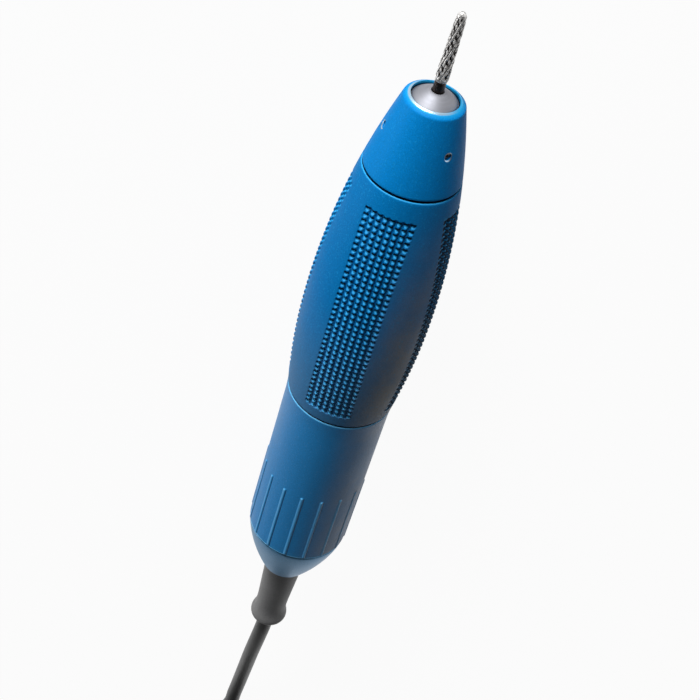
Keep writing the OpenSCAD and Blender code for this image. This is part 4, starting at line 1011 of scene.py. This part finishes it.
def make_tie():
    y = abs(run_y(0)) - WAIST_DRAW
    z = [height(0) + HANK_LIFT, height(LAYERS - 1) + HANK_LIFT]
    inner = LEAD_R + 0.05
    circles = [(side, level, inner) for side in (-y, y) for level in z] + [(PLUG_Y, PLUG_Z, 5.55)]
    line, out = hull_outline(circles, 720)
    # Evenly spaced along the line, so that the weave and the rounding are the same all round
    closed = np.concatenate([line, line[:1]])
    length = np.concatenate([[0], np.cumsum(np.linalg.norm(np.diff(closed, axis=0), axis=1))])
    spaced = np.linspace(0, length[-1], 260, endpoint=False)
    line = np.stack([np.interp(spaced, length, closed[:, k]) for k in range(2)], 1)
    closed_out = np.concatenate([out, out[:1]])
    out = np.stack([np.interp(spaced, length, closed_out[:, k]) for k in range(2)], 1)
    out /= np.linalg.norm(out, axis=1)[:, None]
    half, top = TIE_W / 2, TIE_T - 0.1
    section = rounded([(-half, 0.05), (half, 0.05), (half, top), (-half, top)], 0.35, 3)
    rows = []
    for x, t in section:
        p = line + out * t
        rows.append(np.stack([np.full(len(p), HANK_X + x), p[:, 0], p[:, 1]], 1) * MM)
    mesh = grid_mesh("tie_strap", np.stack(rows), close_rows=True)
    return add_object("tie_strap", soften(mesh, 50), "housing", "tie_fabric", ["hank_tie"])


tie = dress(make_tie())

plug_boot_profile = [(0, LEAD_R + 0.01)]
for p, r in ((0, 2.95), (2.3, 3.15), (4.7, 3.4), (7.1, 3.75), (9.5, 4.15)):
    plug_boot_profile += [(p + 0.01, r - 0.05), (p + 0.3, r), (p + 1.5, r + 0.08)]
    plug_boot_profile += [(p + 1.75, r - 0.5), (p + 2.2, r - 0.5)]
plug_boot_profile += [(11.9, 4.55), (14, 4.6), (14, LEAD_R + 0.01)]
plug_relief = dress(lathe(
    "plug_relief", rounded(plug_boot_profile, 0.2), "housing", "black_rubber", ["plug_boot"],
    on_plug, 72, 50))
plug_body_profile = [(14, 0.5), (14, 4.9), (14.6, 5.5)]
for p in (17, 19, 21):
    plug_body_profile += [(p - 0.5, 5.5), (p - 0.3, 5.25), (p + 0.3, 5.25), (p + 0.5, 5.5)]
plug_body_profile += [(29.2, 5.5), (29.6, 5.1), (29.6, 4.52), (26, 4.52), (26, 0.5)]
plug_case = dress(lathe(
    "plug_case", rounded(plug_body_profile, 0.18), "housing", "dark_steel", ["plug_body"], on_plug, 96, 50))


def make_lock_ring():
    knurls, steps = 24, 6
    p = np.array([30, 30.1, 30.4, 31.2, 31.5, 36.3, 36.6, 37.4, 37.8, 38, 38, 30])
    r = np.array([5.9, 6.15, 6.5, 6.5, 6.5, 6.5, 6.5, 6.5, 6.2, 6.0, 4.56, 4.56])
    cut = np.array([0, 0, 0, 0, 1, 1, 0, 0, 0, 0, 0, 0])
    t = np.arange(knurls * steps) / steps
    groove = 0.32 * np.clip(1 - 2.4 * np.abs(t % 1 - 0.5), 0, 1)
    knurled = r[:, None] - cut[:, None] * groove[None, :]
    points = on_plug(p[:, None], knurled, 2 * math.pi * t[None, :] / knurls)
    mesh = grid_mesh("lock_ring_knurled", points, close_rows=True)
    return add_object("lock_ring_knurled", soften(mesh, 40), "lock_ring", "steel", ["plug_ring"])


lock_ring = dress(make_lock_ring())

# ---------------------------------------------------------------- floor and light
FLOOR_GREY = (0.40, 0.40, 0.40)
FLOOR_HALF = 3.0
FLOOR_Z = -0.0002
WHITE_SHARE = 0.95


def background_white(material, surface_color, share):
    """A grey floor that camera, glossy and transmission rays see mostly as plain white, with its shadow."""
    material.node_tree.nodes.clear()
    out = tree_node(material, "ShaderNodeOutputMaterial")
    path = tree_node(material, "ShaderNodeLightPath")
    seen = maths(material, "MAXIMUM", path.outputs["Is Camera Ray"], path.outputs["Is Glossy Ray"])
    seen = maths(material, "MAXIMUM", seen, path.outputs["Is Transmission Ray"])
    diffuse = tree_node(material, "ShaderNodeBsdfDiffuse")
    link(material, mix_color(material, seen, surface_color, (1, 1, 1)), diffuse.inputs["Color"])
    glow = tree_node(material, "ShaderNodeEmission", Color=(1, 1, 1, 1))
    mix = tree_node(material, "ShaderNodeMixShader")
    link(material, maths(material, "MULTIPLY", seen, share), mix.inputs["Fac"])
    link(material, diffuse.outputs[0], mix.inputs[1])
    link(material, glow.outputs[0], mix.inputs[2])
    link(material, mix.outputs[0], out.inputs["Surface"])


floor_data = bpy.data.meshes.new("floor")
floor_corners = [(x * FLOOR_HALF, y * FLOOR_HALF, FLOOR_Z) for x, y in ((-1, -1), (1, -1), (1, 1), (-1, 1))]
floor_data.from_pydata(floor_corners, [], [(0, 1, 2, 3)])
floor = bpy.data.objects.new("floor", floor_data)
scene.collection.objects.link(floor)
floor_material = bpy.data.materials.new("floor")
floor_material.use_nodes = True
background_white(floor_material, FLOOR_GREY, WHITE_SHARE)
floor_data.materials.append(floor_material)

AMBIENT, OVERHEAD, HORIZON = 0.07, 0.08, 0.85
WORLD_GREY = (0.8, 0.8, 0.8, 1)


def studio_world():
    """Pale grey to the camera past the floor's edge, and a low even light for surfaces.

    Gloss sees it bright at the horizon and dim overhead.
    """
    world = bpy.data.worlds.new("world")
    scene.world = world
    world.use_nodes = True
    world.node_tree.nodes.clear()
    out = tree_node(world, "ShaderNodeOutputWorld")
    place = tree_node(world, "ShaderNodeTexCoord")
    axes = tree_node(world, "ShaderNodeSeparateXYZ")
    link(world, place.outputs["Generated"], axes.inputs[0])
    even = tree_node(world, "ShaderNodeBackground", Color=(0.95, 0.97, 1, 1), Strength=AMBIENT)
    gloss = tree_node(world, "ShaderNodeBackground", Color=WORLD_GREY)
    link(world, span(world, axes.outputs["Z"], 0.05, 0.75, HORIZON, OVERHEAD), gloss.inputs["Strength"])
    seen = tree_node(world, "ShaderNodeBackground", Color=WORLD_GREY, Strength=1.0)
    path = tree_node(world, "ShaderNodeLightPath")
    to_gloss = tree_node(world, "ShaderNodeMixShader")
    link(world, path.outputs["Is Glossy Ray"], to_gloss.inputs["Fac"])
    link(world, even.outputs[0], to_gloss.inputs[1])
    link(world, gloss.outputs[0], to_gloss.inputs[2])
    to_camera = tree_node(world, "ShaderNodeMixShader")
    link(world, path.outputs["Is Camera Ray"], to_camera.inputs["Fac"])
    link(world, to_gloss.outputs[0], to_camera.inputs[1])
    link(world, seen.outputs[0], to_camera.inputs[2])
    link(world, to_camera.outputs[0], out.inputs["Surface"])


def softbox(name, azimuth, elevation, distance, size, watts):
    """A square lamp in that direction from the middle of the tool, facing it."""
    a, e = math.radians(azimuth), math.radians(elevation)
    way = Vector((math.cos(e) * math.cos(a), math.cos(e) * math.sin(a), math.sin(e)))
    data = bpy.data.lights.new(name, "AREA")
    data.shape = "SQUARE"
    data.size = size
    data.energy = watts
    lamp = bpy.data.objects.new(name, data)
    scene.collection.objects.link(lamp)
    lamp.location = Vector((0, 0, AXIS_Z * MM)) + way * distance
    lamp.rotation_mode = "QUATERNION"
    lamp.rotation_quaternion = (-way).to_track_quat("-Z", "Y")


studio_world()
softbox("key", 18, 11, 1.1, 0.35, 14.5)
softbox("side", 97, 8, 1.1, 0.5, 3.5)
softbox("fill", -75, 16, 1.1, 0.8, 0.6)
